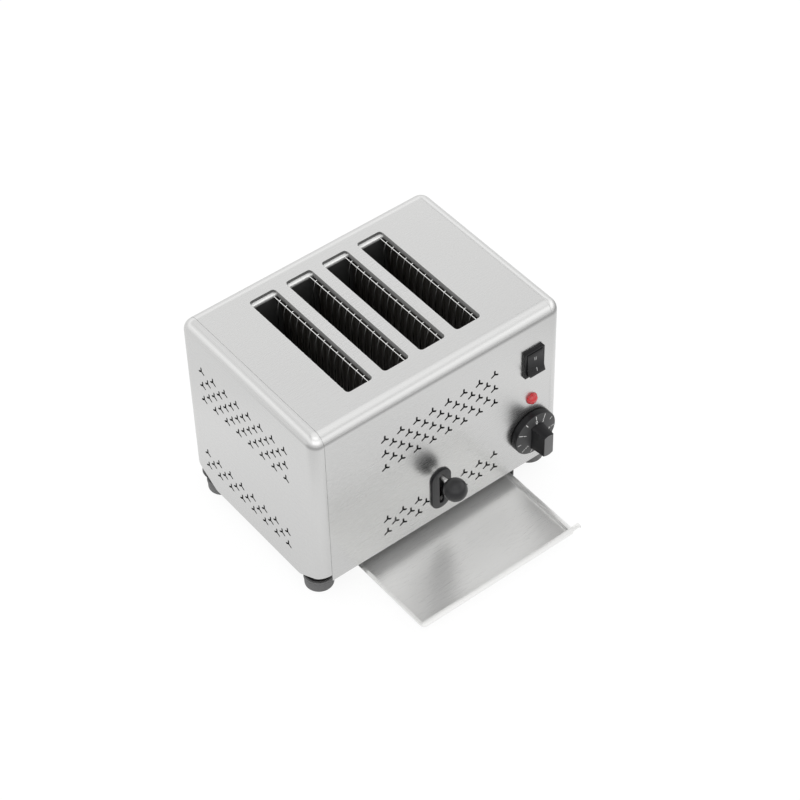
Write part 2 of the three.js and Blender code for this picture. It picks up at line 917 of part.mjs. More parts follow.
// Guard on one side of a slot: 1 for the right, -1 for the left
function wireGuard(side) {
  const railX = slotWidth / 2 - railInset;
  const [front, back] = [frontBulkheadFace + fitGap, rearBulkheadFace - fitGap];
  const half = railWire / 2;
  const rail = blockSolid(
    railX - half,
    railX + half,
    front,
    back,
    railHeight - half,
    railHeight + half
  );
  const uprights = Array.from({ length: uprightCount }, (_, index) =>
    uprightWireAt(firstUpright + index * uprightPitch)
  );
  const geometry = toGeometry(rail.add(together(uprights)));
  geometry.scale(side, 1, 1);
  return geometry;
}

// Lift

const rodY = carriageFront + carriageSheet + (carriageDepth - carriageSheet) / 2;
const rodPlaces = [leverX - rodOffset, leverX + rodOffset];
const carriageFoot = rackTop - rackDepth + tongueDepth / 2 - carriageHeight / 2;
const carriageTop = carriageFoot + carriageHeight;
const tabFoot = leverHeight - armFootHeight / 2;
const carriageBack = carriageFront + carriageDepth;

// Channel behind the front sheet that joins the racks and slides on the two rods
function liftCarriage() {
  const [left, right] = [
    slotCentres[0] - carriageOverhang,
    slotCentres[slotCount - 1] + carriageOverhang,
  ];
  const web = carriageFront + carriageSheet;
  const profile = [
    [carriageFront, carriageFoot],
    [carriageBack, carriageFoot],
    [carriageBack, carriageFoot + carriageSheet],
    [web, carriageFoot + carriageSheet],
    [web, carriageTop - carriageSheet],
    [carriageBack, carriageTop - carriageSheet],
    [carriageBack, carriageTop],
    [carriageFront, carriageTop],
  ];
  const channel = toSolid(slabYZ(polygon(profile), left, right));
  const tab = blockSolid(
    leverX - tabWidth / 2,
    leverX + tabWidth / 2,
    carriageFront,
    web,
    tabFoot,
    carriageFoot + carriageSheet
  );
  const holes = together(
    rodPlaces.map((x) =>
      barZ(rodDiameter / 2 + rodClearance, x, rodY, carriageFoot - cutOver, carriageTop + cutOver)
    )
  );
  return cut(channel.add(tab), holes);
}

function liftRearBar() {
  const front = rearBulkheadFace + innerSheet + rearBarBack;
  const middle = rackTop - rackDepth + tongueDepth / 2;
  return block(
    slotCentres[0] - carriageOverhang,
    slotCentres[slotCount - 1] + carriageOverhang,
    front,
    front + carriageSheet,
    middle - rearBarHeight / 2,
    middle + rearBarHeight / 2
  );
}

// Channel that a slice of bread stands on, with a tongue at each end, about X zero
function breadRack() {
  const front = frontBulkheadFace + rackEndGap;
  const back = rearBulkheadFace - rackEndGap;
  const half = rackWidth / 2;
  const foot = rackTop - rackDepth;
  const profile = [
    [-half, foot],
    [-half, rackTop],
    [half, rackTop],
    [half, foot],
    [half - rackSheet, foot],
    [half - rackSheet, rackTop - rackSheet],
    [-half + rackSheet, rackTop - rackSheet],
    [-half + rackSheet, foot],
  ];
  const channel = toSolid(slabXZ(polygon(profile), front, back));
  const tongue = blockSolid(
    -tongueThickness / 2,
    tongueThickness / 2,
    carriageFront + carriageSheet + fitGap,
    rearBulkheadFace + innerSheet + rearBarBack - fitGap,
    foot,
    foot + tongueDepth
  );
  const bridge = blockSolid(
    -tongueThickness / 2,
    tongueThickness / 2,
    front,
    back,
    foot,
    rackTop - rackSheet / 2
  );
  return joined(channel, tongue, bridge);
}

// Rod that the carriage slides on, between the front bulkhead's two flanges
function guideRod(x) {
  return barZ(rodDiameter / 2, x, rodY, bulkheadFoot + innerSheet, insideTop - fitGap);
}

// Coil round a guide rod, from the bulkhead's lower flange to the carriage
function returnSpring(x) {
  const low = bulkheadFoot + innerSheet + fitGap + springWire / 2;
  const high = carriageFoot - fitGap - springWire / 2;
  const points = [];
  const steps = springCurls * springSteps;
  for (let step = 0; step <= steps; step += 1) {
    const angle = (step / springSteps) * Math.PI * 2;
    points.push(
      new THREE.Vector3(
        x + (Math.cos(angle) * springDiameter) / 2,
        rodY + (Math.sin(angle) * springDiameter) / 2,
        low + ((high - low) * step) / steps
      )
    );
  }
  return wound(points, x, springWire / 2);
}

// Tube of rings that stand across a coil about an upright axis
function wound(points, axisX, radius) {
  const rings = points.map((point) => {
    const outward = new THREE.Vector3(point.x - axisX, point.y - rodY, 0).normalize();
    return Array.from({ length: springSides }, (_, side) => {
      const angle = (side / springSides) * Math.PI * 2;
      return point
        .clone()
        .addScaledVector(outward, Math.cos(angle) * radius)
        .add(new THREE.Vector3(0, 0, Math.sin(angle) * radius));
    });
  });
  return loftedFan(rings);
}

// A skin through rings, closed by a fan at each end
function loftedFan(rings) {
  const count = rings[0].length;
  const points = rings.flat().flatMap((point) => [point.x, point.y, point.z]);
  const faces = [];
  for (let ring = 0; ring + 1 < rings.length; ring += 1) {
    for (let index = 0; index < count; index += 1) {
      const next = (index + 1) % count;
      const [a, b] = [ring * count + index, ring * count + next];
      const [c, d] = [a + count, b + count];
      faces.push(a, b, d, a, d, c);
    }
  }
  const last = (rings.length - 1) * count;
  for (let index = 1; index + 1 < count; index += 1) {
    faces.push(0, index + 1, index);
    faces.push(last, last + index, last + index + 1);
  }
  const geometry = new THREE.BufferGeometry();
  geometry.setAttribute("position", new THREE.Float32BufferAttribute(points, 3));
  geometry.setIndex(faces);
  return geometry;
}

// Flat bar through the front sheet with a foot on the carriage and a round stem for the ball
function leverArm() {
  const footBack = carriageFront - fitGap;
  const footFront = footBack - carriageSheet;
  const barFront = -(ballReach - ballDiameter / 2) + fitGap * 2;
  const foot = blockSolid(
    leverX - armFootWidth / 2,
    leverX + armFootWidth / 2,
    footFront,
    footBack,
    leverHeight - armFootHeight / 2,
    leverHeight + armFootHeight / 2
  );
  const bar = blockSolid(
    leverX - armThickness / 2,
    leverX + armThickness / 2,
    barFront,
    footFront + carriageSheet / 2,
    leverHeight - armHeight / 2,
    leverHeight + armHeight / 2
  );
  const stem = toSolid(
    barY(stemDiameter / 2, leverX, barFront - stemDepth, barFront + armThickness, leverHeight)
  );
  return joined(foot, bar, stem);
}

function leverKnob() {
  const ball = new THREE.SphereGeometry(ballDiameter / 2, ballSides, ballRings);
  ball.translate(leverX, -ballReach, leverHeight);
  const innerFace = -(ballReach - ballDiameter / 2);
  const bore = barY(
    stemDiameter / 2 + fitGap,
    leverX,
    innerFace - stemDepth - fitGap,
    innerFace + ballDiameter / 2,
    leverHeight
  );
  return cut(toSolid(ball), toSolid(bore));
}

function leverEscutcheon() {
  const middle = (leverSlotTop + leverSlotFoot) / 2;
  const outline = stadium(
    leverX,
    middle - escutcheonHeight / 2 + escutcheonEdge,
    middle + escutcheonHeight / 2 - escutcheonEdge,
    escutcheonWidth - 2 * escutcheonEdge
  );
  const plate = new THREE.ExtrudeGeometry(outline, {
    depth: escutcheonThickness - 2 * escutcheonEdge,
    curveSegments: smallSides - cornerSteps,
    bevelThickness: escutcheonEdge,
    bevelSize: escutcheonEdge,
    bevelSegments: 1,
  });
  plate.applyMatrix4(turnToXZ);
  plate.translate(0, -escutcheonEdge, 0);
  const slot = stadium(leverX, leverSlotFoot, leverSlotTop, leverSlotWidth);
  return cut(
    toSolid(plate),
    toSolid(slabXZ(slot, -escutcheonThickness - cutOver, cutOver))
  );
}

// Coil block on the front bulkhead's lower flange: a U-shaped yoke round a winding
function holdMagnet() {
  const foot = bulkheadFoot + innerSheet;
  const head = tabFoot - armatureThickness - liftTravel - fitGap;
  const half = magnetWidth / 2;
  const back = carriageFront + carriageSheet + magnetDepth / 2;
  const front = back - magnetDepth;
  const body = blockSolid(leverX - half, leverX + half, front, back, foot, head);
  const window = blockSolid(
    leverX - half + magnetYoke,
    leverX + half - magnetYoke,
    front - cutOver,
    front + magnetYoke,
    foot + magnetYoke,
    head - magnetYoke
  );
  return cut(body, window);
}

function armature() {
  return block(
    leverX - magnetWidth / 2,
    leverX + magnetWidth / 2,
    carriageFront - carriageSheet,
    carriageFront + carriageSheet + magnetDepth / 2,
    tabFoot - armatureThickness,
    tabFoot
  );
}

// Controls

// Disc with a rounded rim, a grip bar with bulging ends, and a blind bore for the shaft;
// drawn about the shaft's axis with the front sheet at Y zero
function timerKnob() {
  const radius = knobDiameter / 2;
  const skirtFront = knobStandoff + knobSkirt;
  const disc = turnedOut(
    [
      [0, knobStandoff],
      [radius, knobStandoff],
      [radius, skirtFront - knobEdge],
      [radius - knobEdge * knobEdgeShare, skirtFront - knobEdge * knobEdgeShare],
      [radius - knobEdge, skirtFront],
      [0, skirtFront],
    ],
    knobSides
  );
  const grip = lofted([
    gripRing(-skirtFront + knobEdge, 0),
    gripRing(-skirtFront - gripReach + knobEdge, gripTaper),
    gripRing(-skirtFront - gripReach, gripTaper + knobEdge),
  ]);
  const bore = barY(
    shaftDiameter / 2 + shaftClearance,
    0,
    -shaftInKnob - fitGap,
    cutOver,
    0
  );
  return cut(toSolid(disc).add(toSolid(grip)), toSolid(bore));
}

function gripRing(y, inset) {
  const half = gripWidth / 2 - inset;
  const end = gripHeight / 2 - gripCrown - inset;
  const top = gripShares.map((share) => [share * half, end + gripCrown * (1 - share * share)]);
  const foot = [...gripShares]
    .reverse()
    .map((share) => [share * half, -end - gripCrown * (1 - share * share)]);
  return [...top, ...foot].map(([x, z]) => new THREE.Vector3(x, y, z));
}

function timerShaft() {
  return barY(shaftDiameter / 2, 0, -shaftInKnob, sheet + fitGap + shaftInTimer, 0);
}

// Clockwork case behind the front sheet with the bush that passes through the sheet
function timerBody() {
  const front = sheet + fitGap;
  const bulk = roundedRectangle(
    -timerWidth / 2,
    timerWidth / 2,
    -timerTall / 2,
    timerTall / 2,
    shaftDiameter
  );
  const bush = barY(timerBush / 2, 0, 0, front + cutOver, 0);
  const bore = barY(
    shaftDiameter / 2 + shaftClearance,
    0,
    -cutOver,
    front + shaftInTimer + shaftEndGap,
    0
  );
  const body = toSolid(slabXZ(bulk, front, front + timerDepth, roundSteps)).add(toSolid(bush));
  return cut(body, toSolid(bore));
}

function lampLens() {
  const radius = lensDiameter / 2;
  const profile = [[0, 0]];
  profile.push([radius, 0], [radius, lensRim]);
  for (let step = 1; step <= cornerSteps; step += 1) {
    const angle = ((step / cornerSteps) * Math.PI) / 2;
    profile.push([radius * Math.cos(angle), lensRim + lensDome * Math.sin(angle)]);
  }
  const dome = turnedOut(profile, footSides);
  const stem = barY(lampBarrel / 2, 0, -lensRim / 2, sheet + fitGap, 0);
  return toSolid(dome).add(toSolid(stem));
}

function lampBody() {
  const front = sheet + fitGap;
  const nut = barY(lampNut / 2, 0, front, front + lampNutDepth, 0, nutSides);
  const barrel = barY(lampBarrel / 2, 0, front + fitGap, front + lampDepth, 0);
  return toSolid(nut).add(toSolid(barrel));
}

// Frame and body of the switch with an open pocket for the rocker and holes for its pins,
// drawn about the pivot
function switchHousing() {
  const half = switchWidth / 2;
  const tall = switchTall / 2;
  const bezel = roundedRectangle(-half, half, -tall, tall, switchBodyInset);
  const body = [
    -half + switchBodyInset,
    half - switchBodyInset,
    -bezelProud / 2,
    switchDepth,
    -tall + switchBodyInset,
    tall - switchBodyInset,
  ];
  const pocket = blockSolid(
    -half + bezelRim,
    half - bezelRim,
    -bezelProud - cutOver,
    pocketFloor,
    -tall + bezelRim,
    tall - bezelRim
  );
  const pinHole = barX(
    pinDiameter / 2 + rockerGap,
    -half + bezelRim - pinLength - rockerGap,
    half - bezelRim + pinLength + rockerGap,
    pivotY,
    0
  );
  const frame = toSolid(slabXZ(bezel, -bezelProud, 0, roundSteps));
  return cut(frame.add(blockSolid(...body)), pocket, toSolid(pinHole));
}

const pivotY = -pivotReach;

// Rocker about its pivot, level: a face with a shallow hollow and a back that clears the pocket
function switchRocker() {
  const half = switchWidth / 2 - bezelRim - rockerGap;
  const face = -rockerFace - pivotY;
  const tilt = THREE.MathUtils.degToRad(rockerTilt);
  const room = switchTall / 2 - bezelRim - rockerSwing;
  const tall = (room + face * Math.sin(tilt)) / Math.cos(tilt);
  const profile = [
    [face, -tall],
    [face, tall],
    [0, tall],
    [rockerBack, tall / 2],
    [rockerBack, -tall / 2],
    [0, -tall],
  ];
  const shape = new THREE.Shape();
  shape.moveTo(...profile[0]);
  shape.quadraticCurveTo(face + 2 * rockerDip, 0, ...profile[1]);
  profile.slice(2).forEach((point) => shape.lineTo(...point));
  shape.closePath();
  const body = toSolid(slabYZ(shape, -half, half, dipSteps));
  const pins = toSolid(
    barX(pinDiameter / 2, -half - rockerGap - pinLength, half + rockerGap + pinLength, 0, 0)
  );
  return body.add(pins);
}

// Feet

// Turned foot with a collar under the base pan
function foot() {
  const profile = [
    [0, 0],
    [footRadius - footTaper, 0],
    [footRadius, footTaper],
    [footRadius, footPad],
    [collarRadius, footPad],
    [collarRadius, basePanFoot],
    [0, basePanFoot],
  ];
  return turnedZ(profile, footSides);
}

// Flanged bush at the back that a mains lead would pass through
function cordGland() {
  const solid = new THREE.LatheGeometry(
    [
      [glandBore / 2, -glandInside],
      [glandBarrel / 2, -glandInside],
      [glandBarrel / 2, sheet + fitGap],
      [glandFlange / 2, sheet + fitGap],
      [glandFlange / 2, sheet + glandCollar],
      [glandBarrel / 2, sheet + glandProud / 2],
      [glandBore / 2 + sheet, sheet + glandProud],
      [glandBore / 2, sheet + glandProud],
      [glandBore / 2, -glandInside],
    ].map(([radius, height]) => new THREE.Vector2(radius, height)),
    glandSides
  );
  return solid;
}

// Block with a row of poles, standing on the base pan's rear strip
function terminalBlock() {
  const low = basePanTop + fitGap;
  const front = insideBack - blockDepth - sheet;
  const body = blockSolid(
    glandX - blockWidth / 2,
    glandX + blockWidth / 2,
    front,
    front + blockDepth,
    low,
    low + blockHeight
  );
  const pitch = blockWidth / blockPoles;
  const bores = together(
    Array.from({ length: blockPoles }, (_, index) =>
      barZ(
        blockBore / 2,
        glandX + (index - (blockPoles - 1) / 2) * pitch,
        front + blockDepth / 2,
        low + blockHeight - blockBoreDepth,
        low + blockHeight + cutOver,
        blockBoreSides
      )
    )
  );
  return cut(body, bores);
}

// Crumb tray, drawn with its lip's front edge at Y zero

function crumbTray() {
  const [left, right] = [-trayLeft, trayRight];
  const top = trayTopHeight;
  const shellFoot = top - trayDepth;
  const rim = new THREE.Shape();
  rim.moveTo(left, trayLength);
  rim.lineTo(left, trayCorner);
  rim.absarc(left + trayCorner, trayCorner, trayCorner, Math.PI, Math.PI * 1.5);
  rim.lineTo(right - trayCorner, 0);
  rim.absarc(right - trayCorner, trayCorner, trayCorner, -Math.PI / 2, 0);
  rim.lineTo(right, trayLength);
  rim.closePath();
  const flange = toSolid(slabXY(rim, top - traySheet, top));
  const inner = [left + trayFlange, right - trayFlange, trayLip, trayLength - traySheet];
  const shell = blockSolid(
    inner[0] - traySheet,
    inner[1] + traySheet,
    inner[2] - traySheet,
    trayLength,
    shellFoot,
    top
  );
  const hollow = blockSolid(...inner, shellFoot + traySheet, top + cutOver);
  const ear = blockSolid(
    right - trayFlange / 2,
    right + earLength,
    earSetback,
    earSetback + earWidth,
    top - traySheet,
    top
  );
  const fold = blockSolid(
    right + earLength - traySheet,
    right + earLength,
    earSetback,
    earSetback + earWidth,
    top - earFold,
    top
  );
  return cut(joined(shell, flange, ear, fold), hollow);
}

// Assembly

place(chassis, "wrap_cover", wrapCover(), stainless);
place(chassis, "left_side_panel", sidePanel(-1), stainless, -halfWidth);
place(chassis, "right_side_panel", sidePanel(1), stainless, halfWidth);
place(chassis, "base_pan", basePan(), dullSteel);
place(chassis, "front_bulkhead", frontBulkhead(), dullSteel);
place(chassis, "rear_bulkhead", rearBulkhead(), dullSteel);
place(chassis, "left_chamber_wall", chamberWall(leftWallX, -1), dullSteel);
place(chassis, "right_chamber_wall", chamberWall(rightWallX, 1), dullSteel);

boardCentres.forEach((x, index) => {
  place(chassis, `heater_board_${index + 1}`, heaterBoard(), mica, x);
});

slotCentres.forEach((x, index) => {
  place(chassis, `wire_guard_${index + 1}_left`, wireGuard(-1), brightWire, x);
  place(chassis, `wire_guard_${index + 1}_right`, wireGuard(1), brightWire, x);
});

place(chassis, "guide_rod_left", guideRod(rodPlaces[0]), brightWire);
place(chassis, "guide_rod_right", guideRod(rodPlaces[1]), brightWire);
place(chassis, "return_spring_left", returnSpring(rodPlaces[0]), brightWire);
place(chassis, "return_spring_right", returnSpring(rodPlaces[1]), brightWire);
place(chassis, "hold_magnet", holdMagnet(), dullSteel);
place(chassis, "lever_escutcheon", leverEscutcheon(), blackPlastic);
place(chassis, "timer_body", timerBody(), palePlastic, columnX, 0, timerHeight);
place(chassis, "lamp_lens", lampLens(), redLens, columnX, 0, lampHeight);
place(chassis, "lamp_body", lampBody(), blackPlastic, columnX, 0, lampHeight);
place(chassis, "switch_housing", switchHousing(), blackPlastic, columnX, 0, switchHeight);
place(chassis, "terminal_block", terminalBlock(), palePlastic);
place(chassis, "cord_gland", cordGland(), blackPlastic, glandX, caseDepth - sheet, glandHeight);

const footNames = ["front_left_foot", "front_right_foot", "rear_left_foot", "rear_right_foot"];
footPlaces.forEach(([x, y], index) => {
  place(chassis, footNames[index], foot(), greyRubber, x, y);
});

place(lift, "lift_carriage", liftCarriage(), dullSteel);
place(lift, "lift_rear_bar", liftRearBar(), dullSteel);
slotCentres.forEach((x, index) => {
  place(lift, `bread_rack_${index + 1}`, breadRack(), dullSteel, x);
});
place(lift, "armature", armature(), dullSteel);
place(lift, "lever_arm", leverArm(), brightWire);
place(lift, "lever_knob", leverKnob(), blackPlastic);

timerControl.position.set(columnX, 0, timerHeight);
place(timerControl, "timer_knob", timerKnob(), blackPlastic);
place(timerControl, "timer_shaft", timerShaft(), dullSteel);

// The rocker rests with its upper end pressed in.
rockerControl.position.set(columnX, pivotY, switchHeight);
rockerControl.rotation.x = THREE.MathUtils.degToRad(-rockerTilt);
place(rockerControl, "switch_rocker", switchRocker(), blackPlastic);

tray.position.y = -trayFront;
place(tray, "crumb_tray", crumbTray(), stainless);

// The middle of the whole, from the tray's lip to the end of the gland
const wholeBack = caseDepth + glandProud;
toaster.position.y = (trayFront - wholeBack) / 2;
toaster.updateMatrixWorld(true);

export default toaster;
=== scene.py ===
import math

import bmesh
import bpy
from mathutils.bvhtree import BVHTree
from mathutils import Matrix, Vector


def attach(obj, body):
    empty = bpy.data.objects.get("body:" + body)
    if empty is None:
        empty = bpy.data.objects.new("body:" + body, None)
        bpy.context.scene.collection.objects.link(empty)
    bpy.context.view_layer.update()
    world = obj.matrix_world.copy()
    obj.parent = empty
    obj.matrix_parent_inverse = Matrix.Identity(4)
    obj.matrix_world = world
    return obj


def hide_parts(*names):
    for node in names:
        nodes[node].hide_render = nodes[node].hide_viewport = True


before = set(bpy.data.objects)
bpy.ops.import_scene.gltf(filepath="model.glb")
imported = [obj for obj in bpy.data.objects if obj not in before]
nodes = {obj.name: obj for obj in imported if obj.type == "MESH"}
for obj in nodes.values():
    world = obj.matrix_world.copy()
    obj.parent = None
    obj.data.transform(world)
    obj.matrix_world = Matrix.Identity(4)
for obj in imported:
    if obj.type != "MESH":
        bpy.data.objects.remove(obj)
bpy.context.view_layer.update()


# The room: a pale studio with a plain floor that runs out of view on all sides.
# The floor stays white to the camera and keeps a faint shadow. The polished sheet mirrors it
# bright close by, darker half a metre away and pale again further off.
def add(tree, kind, wires=(), **settings):
    """A node of a tree, with its settings and what goes into its inputs."""
    node = tree.nodes.new(kind)
    for key, value in settings.items():
        setattr(node, key, value)
    for key, value in dict(wires).items():
        if isinstance(value, bpy.types.NodeSocket):
            tree.links.new(value, node.inputs[key])
        else:
            node.inputs[key].default_value = value
    return node


def new_material(name):
    """A material, its empty tree and the places on the object that its pattern follows."""
    material = bpy.data.materials.new(name)
    material.use_nodes = True
    tree = material.node_tree
    tree.nodes.clear()
    return material, tree, add(tree, "ShaderNodeTexCoord").outputs["Object"]


def ramp(tree, share, stops):
    """Colours between dark and light at places from 0 to 1."""
    node = add(tree, "ShaderNodeValToRGB", {"Fac": share})
    while len(node.color_ramp.elements) < len(stops):
        node.color_ramp.elements.new(0.5)
    for element, (place, level) in zip(node.color_ramp.elements, stops):
        element.position = place
        element.color = (level, level, level, 1)
    return node.outputs["Color"]


def calculated(tree, operation, *values):
    return add(
        tree, "ShaderNodeMath", dict(enumerate(values)), operation=operation
    ).outputs[0]


def along_axis(tree, vector, axis):
    return add(tree, "ShaderNodeSeparateXYZ", {0: vector}).outputs[axis]


def blended(tree, share, first, second, way="MIX"):
    """A colour between two others."""
    return add(
        tree,
        "ShaderNodeMix",
        {0: share, 6: first, 7: second},
        data_type="RGBA",
        blend_type=way,
    ).outputs[2]


def placed(name, data):
    """An object of some data, in the scene."""
    made = bpy.data.objects.new(name, data)
    bpy.context.scene.collection.objects.link(made)
    return made


floor_paint, paint, place = new_material("studio_floor")
distance = add(paint, "ShaderNodeVectorMath", {0: place}, operation="LENGTH").outputs["Value"]
ramp_length = 4.0
far = calculated(paint, "DIVIDE", distance, ramp_length)
close_by = [(0.0, 0.8), (0.035, 0.84), (0.075, 1.0)]
further_off = [(0.14, 0.42), (0.3, 0.5), (0.6, 1.0)]
dulled = ramp(paint, far, close_by + further_off)
behind = calculated(paint, "MULTIPLY_ADD", along_axis(paint, place, "Y"), 0.5, 0.5)
pale_behind = ramp(paint, behind, [(0.55, 0.0), (0.62, 0.92)])
lit = blended(paint, 1.0, dulled, pale_behind, "LIGHTEN")
mirrored = add(paint, "ShaderNodeEmission", {"Color": lit}).outputs[0]
pure_white = {"Color": (1, 1, 1, 1), "Strength": 1.025}
white = add(paint, "ShaderNodeEmission", pure_white).outputs[0]
matt = add(paint, "ShaderNodeBsdfDiffuse", {"Color": (0.9, 0.9, 0.9, 1)}).outputs[0]
ray = add(paint, "ShaderNodeLightPath").outputs
shadow_share = 0.12
seen = add(paint, "ShaderNodeMixShader", {0: shadow_share, 1: white, 2: matt}).outputs[0]
shining = calculated(paint, "MAXIMUM", ray["Is Glossy Ray"], ray["Is Transmission Ray"])
dull = add(paint, "ShaderNodeMixShader", {0: shining, 1: matt, 2: mirrored}).outputs[0]
shown = {0: ray["Is Camera Ray"], 1: dull, 2: seen}
result = add(paint, "ShaderNodeMixShader", shown).outputs[0]
add(paint, "ShaderNodeOutputMaterial", {"Surface": result})

floor_mesh = bpy.data.meshes.new("studio_floor")
reach = 6.0
floor_mesh.from_pydata(
    [(-reach, -reach, 0), (reach, -reach, 0), (reach, reach, 0), (-reach, reach, 0)],
    [],
    [(0, 1, 2, 3)],
)
floor_mesh.materials.append(floor_paint)
placed("studio_floor", floor_mesh)

world = bpy.data.worlds.new("studio")
bpy.context.scene.world = world
world.use_nodes = True
sky = world.node_tree
sky.nodes.clear()
direction = add(sky, "ShaderNodeTexCoord").outputs["Generated"]
upward, backward = [
    calculated(sky, "MULTIPLY_ADD", along_axis(sky, direction, axis), 0.5, 0.5) for axis in "ZY"
]
horizon = [(0.49, 0.55), (0.515, 0.62), (0.55, 1.0), (0.76, 1.3), (0.82, 1.1)]
overhead = [(0.855, 0.66), (0.885, 0.72), (0.93, 1.2), (1.0, 1.2)]
front_level = ramp(sky, upward, horizon + overhead)
back_level = ramp(sky, backward, [(0.6, 0.0), (0.8, 0.89)])
level = blended(sky, 1.0, front_level, back_level, "LIGHTEN")
background = add(sky, "ShaderNodeBackground", {"Color": level, "Strength": 1.0}).outputs[0]
add(sky, "ShaderNodeOutputWorld", {"Surface": background})

aim = Vector((0, 0, 0.1))
for name, spot, size, power in (
    ("key_softbox", (-1.1, -1.5, 1.9), 3.0, 12),
    ("fill_softbox", (1.9, -0.9, 1.3), 2.0, 3.5),
):
    lamp = bpy.data.lights.new(name, "AREA")
    lamp.energy = power
    lamp.size = size
    softbox = placed(name, lamp)
    softbox.location = spot
    softbox.rotation_euler = (aim - Vector(spot)).to_track_quat("-Z", "Y").to_euler()

lens = bpy.data.cameras.new("camera")
lens.sensor_width = 36
lens.lens = 108.57
lens.clip_end = 50
camera = placed("camera", lens)
right = Vector((0.784424, -0.619917, -0.019511))
up = Vector((0.457666, 0.557312, 0.692781))
turn = Matrix((right, up, right.cross(up))).transposed()
camera.matrix_world = Matrix.Translation((-0.97317, -1.28254, 1.81077)) @ turn.to_4x4()
bpy.context.scene.camera = camera
bpy.context.scene.view_settings.view_transform = "Standard"


# The casing sheet: stainless sheet about 0.8 mm thick, ground to a fine satin in one direction.
# It is punched flat, with three-armed perforations in staggered rows, and bent afterwards.
MM = 0.001
FRONT = -0.0625  # Y of the front sheet
case_half, case_depth, case_height = 148.0, 213.0, 225.0
sheet = 0.8
seam_x = 135.5
bend_radius = 13.2
bend_steps = 14
support = 0.4  # narrow flat strip beside each bend, which keeps the flats flat in the light


def noise(tree, place, scale, detail):
    wires = {"Vector": place, "Scale": scale, "Detail": detail}
    return add(tree, "ShaderNodeTexNoise", wires).outputs[0]


def shades(colour, low, high):
    """A colour made darker and lighter."""
    return [[min(c * level, 1) for c in colour] + [1] for level in (low, high)]


def surfaced(tree, settings):
    shader = add(tree, "ShaderNodeBsdfPrincipled", settings)
    add(tree, "ShaderNodeOutputMaterial", {"Surface": shader.outputs[0]})


def grained(tree, height, depth):
    """A bump of a tenth of a millimetre."""
    wires = {"Strength": depth, "Distance": 0.0001, "Height": height}
    return add(tree, "ShaderNodeBump", wires).outputs[0]


def satin(name, colour, roughness, grain, depth=0.02, metallic=1.0):
    """Ground metal. Grain gives the number of lines per metre along X, Y and Z."""
    material, tree, place = new_material(name)
    lines = add(tree, "ShaderNodeMapping", {"Vector": place, "Scale": grain}).outputs[0]
    fine = noise(tree, lines, 1.0, 3.0)
    uneven = calculated(tree, "MULTIPLY_ADD", noise(tree, place, 14.0, 2.0), 0.35, fine)
    spread = {0: uneven, 1: 0.4, 2: 1.0, 3: roughness - 0.012, 4: roughness + 0.02}
    settings = {
        "Base Color": blended(tree, fine, *shades(colour, 0.98, 1.02)),
        "Metallic": metallic,
        "Roughness": add(tree, "ShaderNodeMapRange", spread).outputs[0],
        "Normal": grained(tree, fine, depth),
    }
    surfaced(tree, settings)
    return material


def tree_of(name, sockets):
    """A geometry tree with a Geometry input and output and named number inputs."""
    tree = bpy.data.node_groups.new(name, "GeometryNodeTree")
    face = tree.interface
    face.new_socket("Geometry", in_out="INPUT", socket_type="NodeSocketGeometry")
    for label, kind, value in sockets:
        made = face.new_socket(label, in_out="INPUT", socket_type=kind)
        if value is not None:
            made.default_value = value
    face.new_socket("Geometry", in_out="OUTPUT", socket_type="NodeSocketGeometry")
    return tree


def baked(carrier):
    """An object's mesh with its modifiers worked in; the object goes."""
    bpy.context.view_layer.update()
    made = bpy.data.meshes.new_from_object(
        carrier.evaluated_get(bpy.context.evaluated_depsgraph_get())
    )
    bpy.data.objects.remove(carrier)
    return made


def evaluated(name, mesh, tree, values):
    """The plain mesh that a geometry tree makes of a mesh, with the values of its named inputs."""
    carrier = placed(name, mesh)
    modifier = carrier.modifiers.new(name, "NODES")
    modifier.node_group = tree
    for item in tree.interface.items_tree:
        if item.in_out == "INPUT" and item.name in values:
            modifier[item.identifier] = values[item.name]
    return baked(carrier)


NUMBER, COUNT = "NodeSocketFloat", "NodeSocketInt"
field_sockets = [
    ("First Column", NUMBER, 0.0),
    ("Top Row", NUMBER, 0.0),
    ("Row Pitch", NUMBER, 0.0095),
    ("Rows", COUNT, 5),
]
star_sockets = [
    ("Columns", COUNT, 8),
    ("Column Pitch", NUMBER, 0.0189),
    ("Arm Length", NUMBER, 0.0053),
    ("Arm Half Width", NUMBER, 0.00105),
    ("Clear Middle", NUMBER, 9.0),
    ("Clear Height", NUMBER, 9.0),
    ("Clear Half Width", NUMBER, 0.0),
    ("Clear Half Height", NUMBER, 0.0),
]


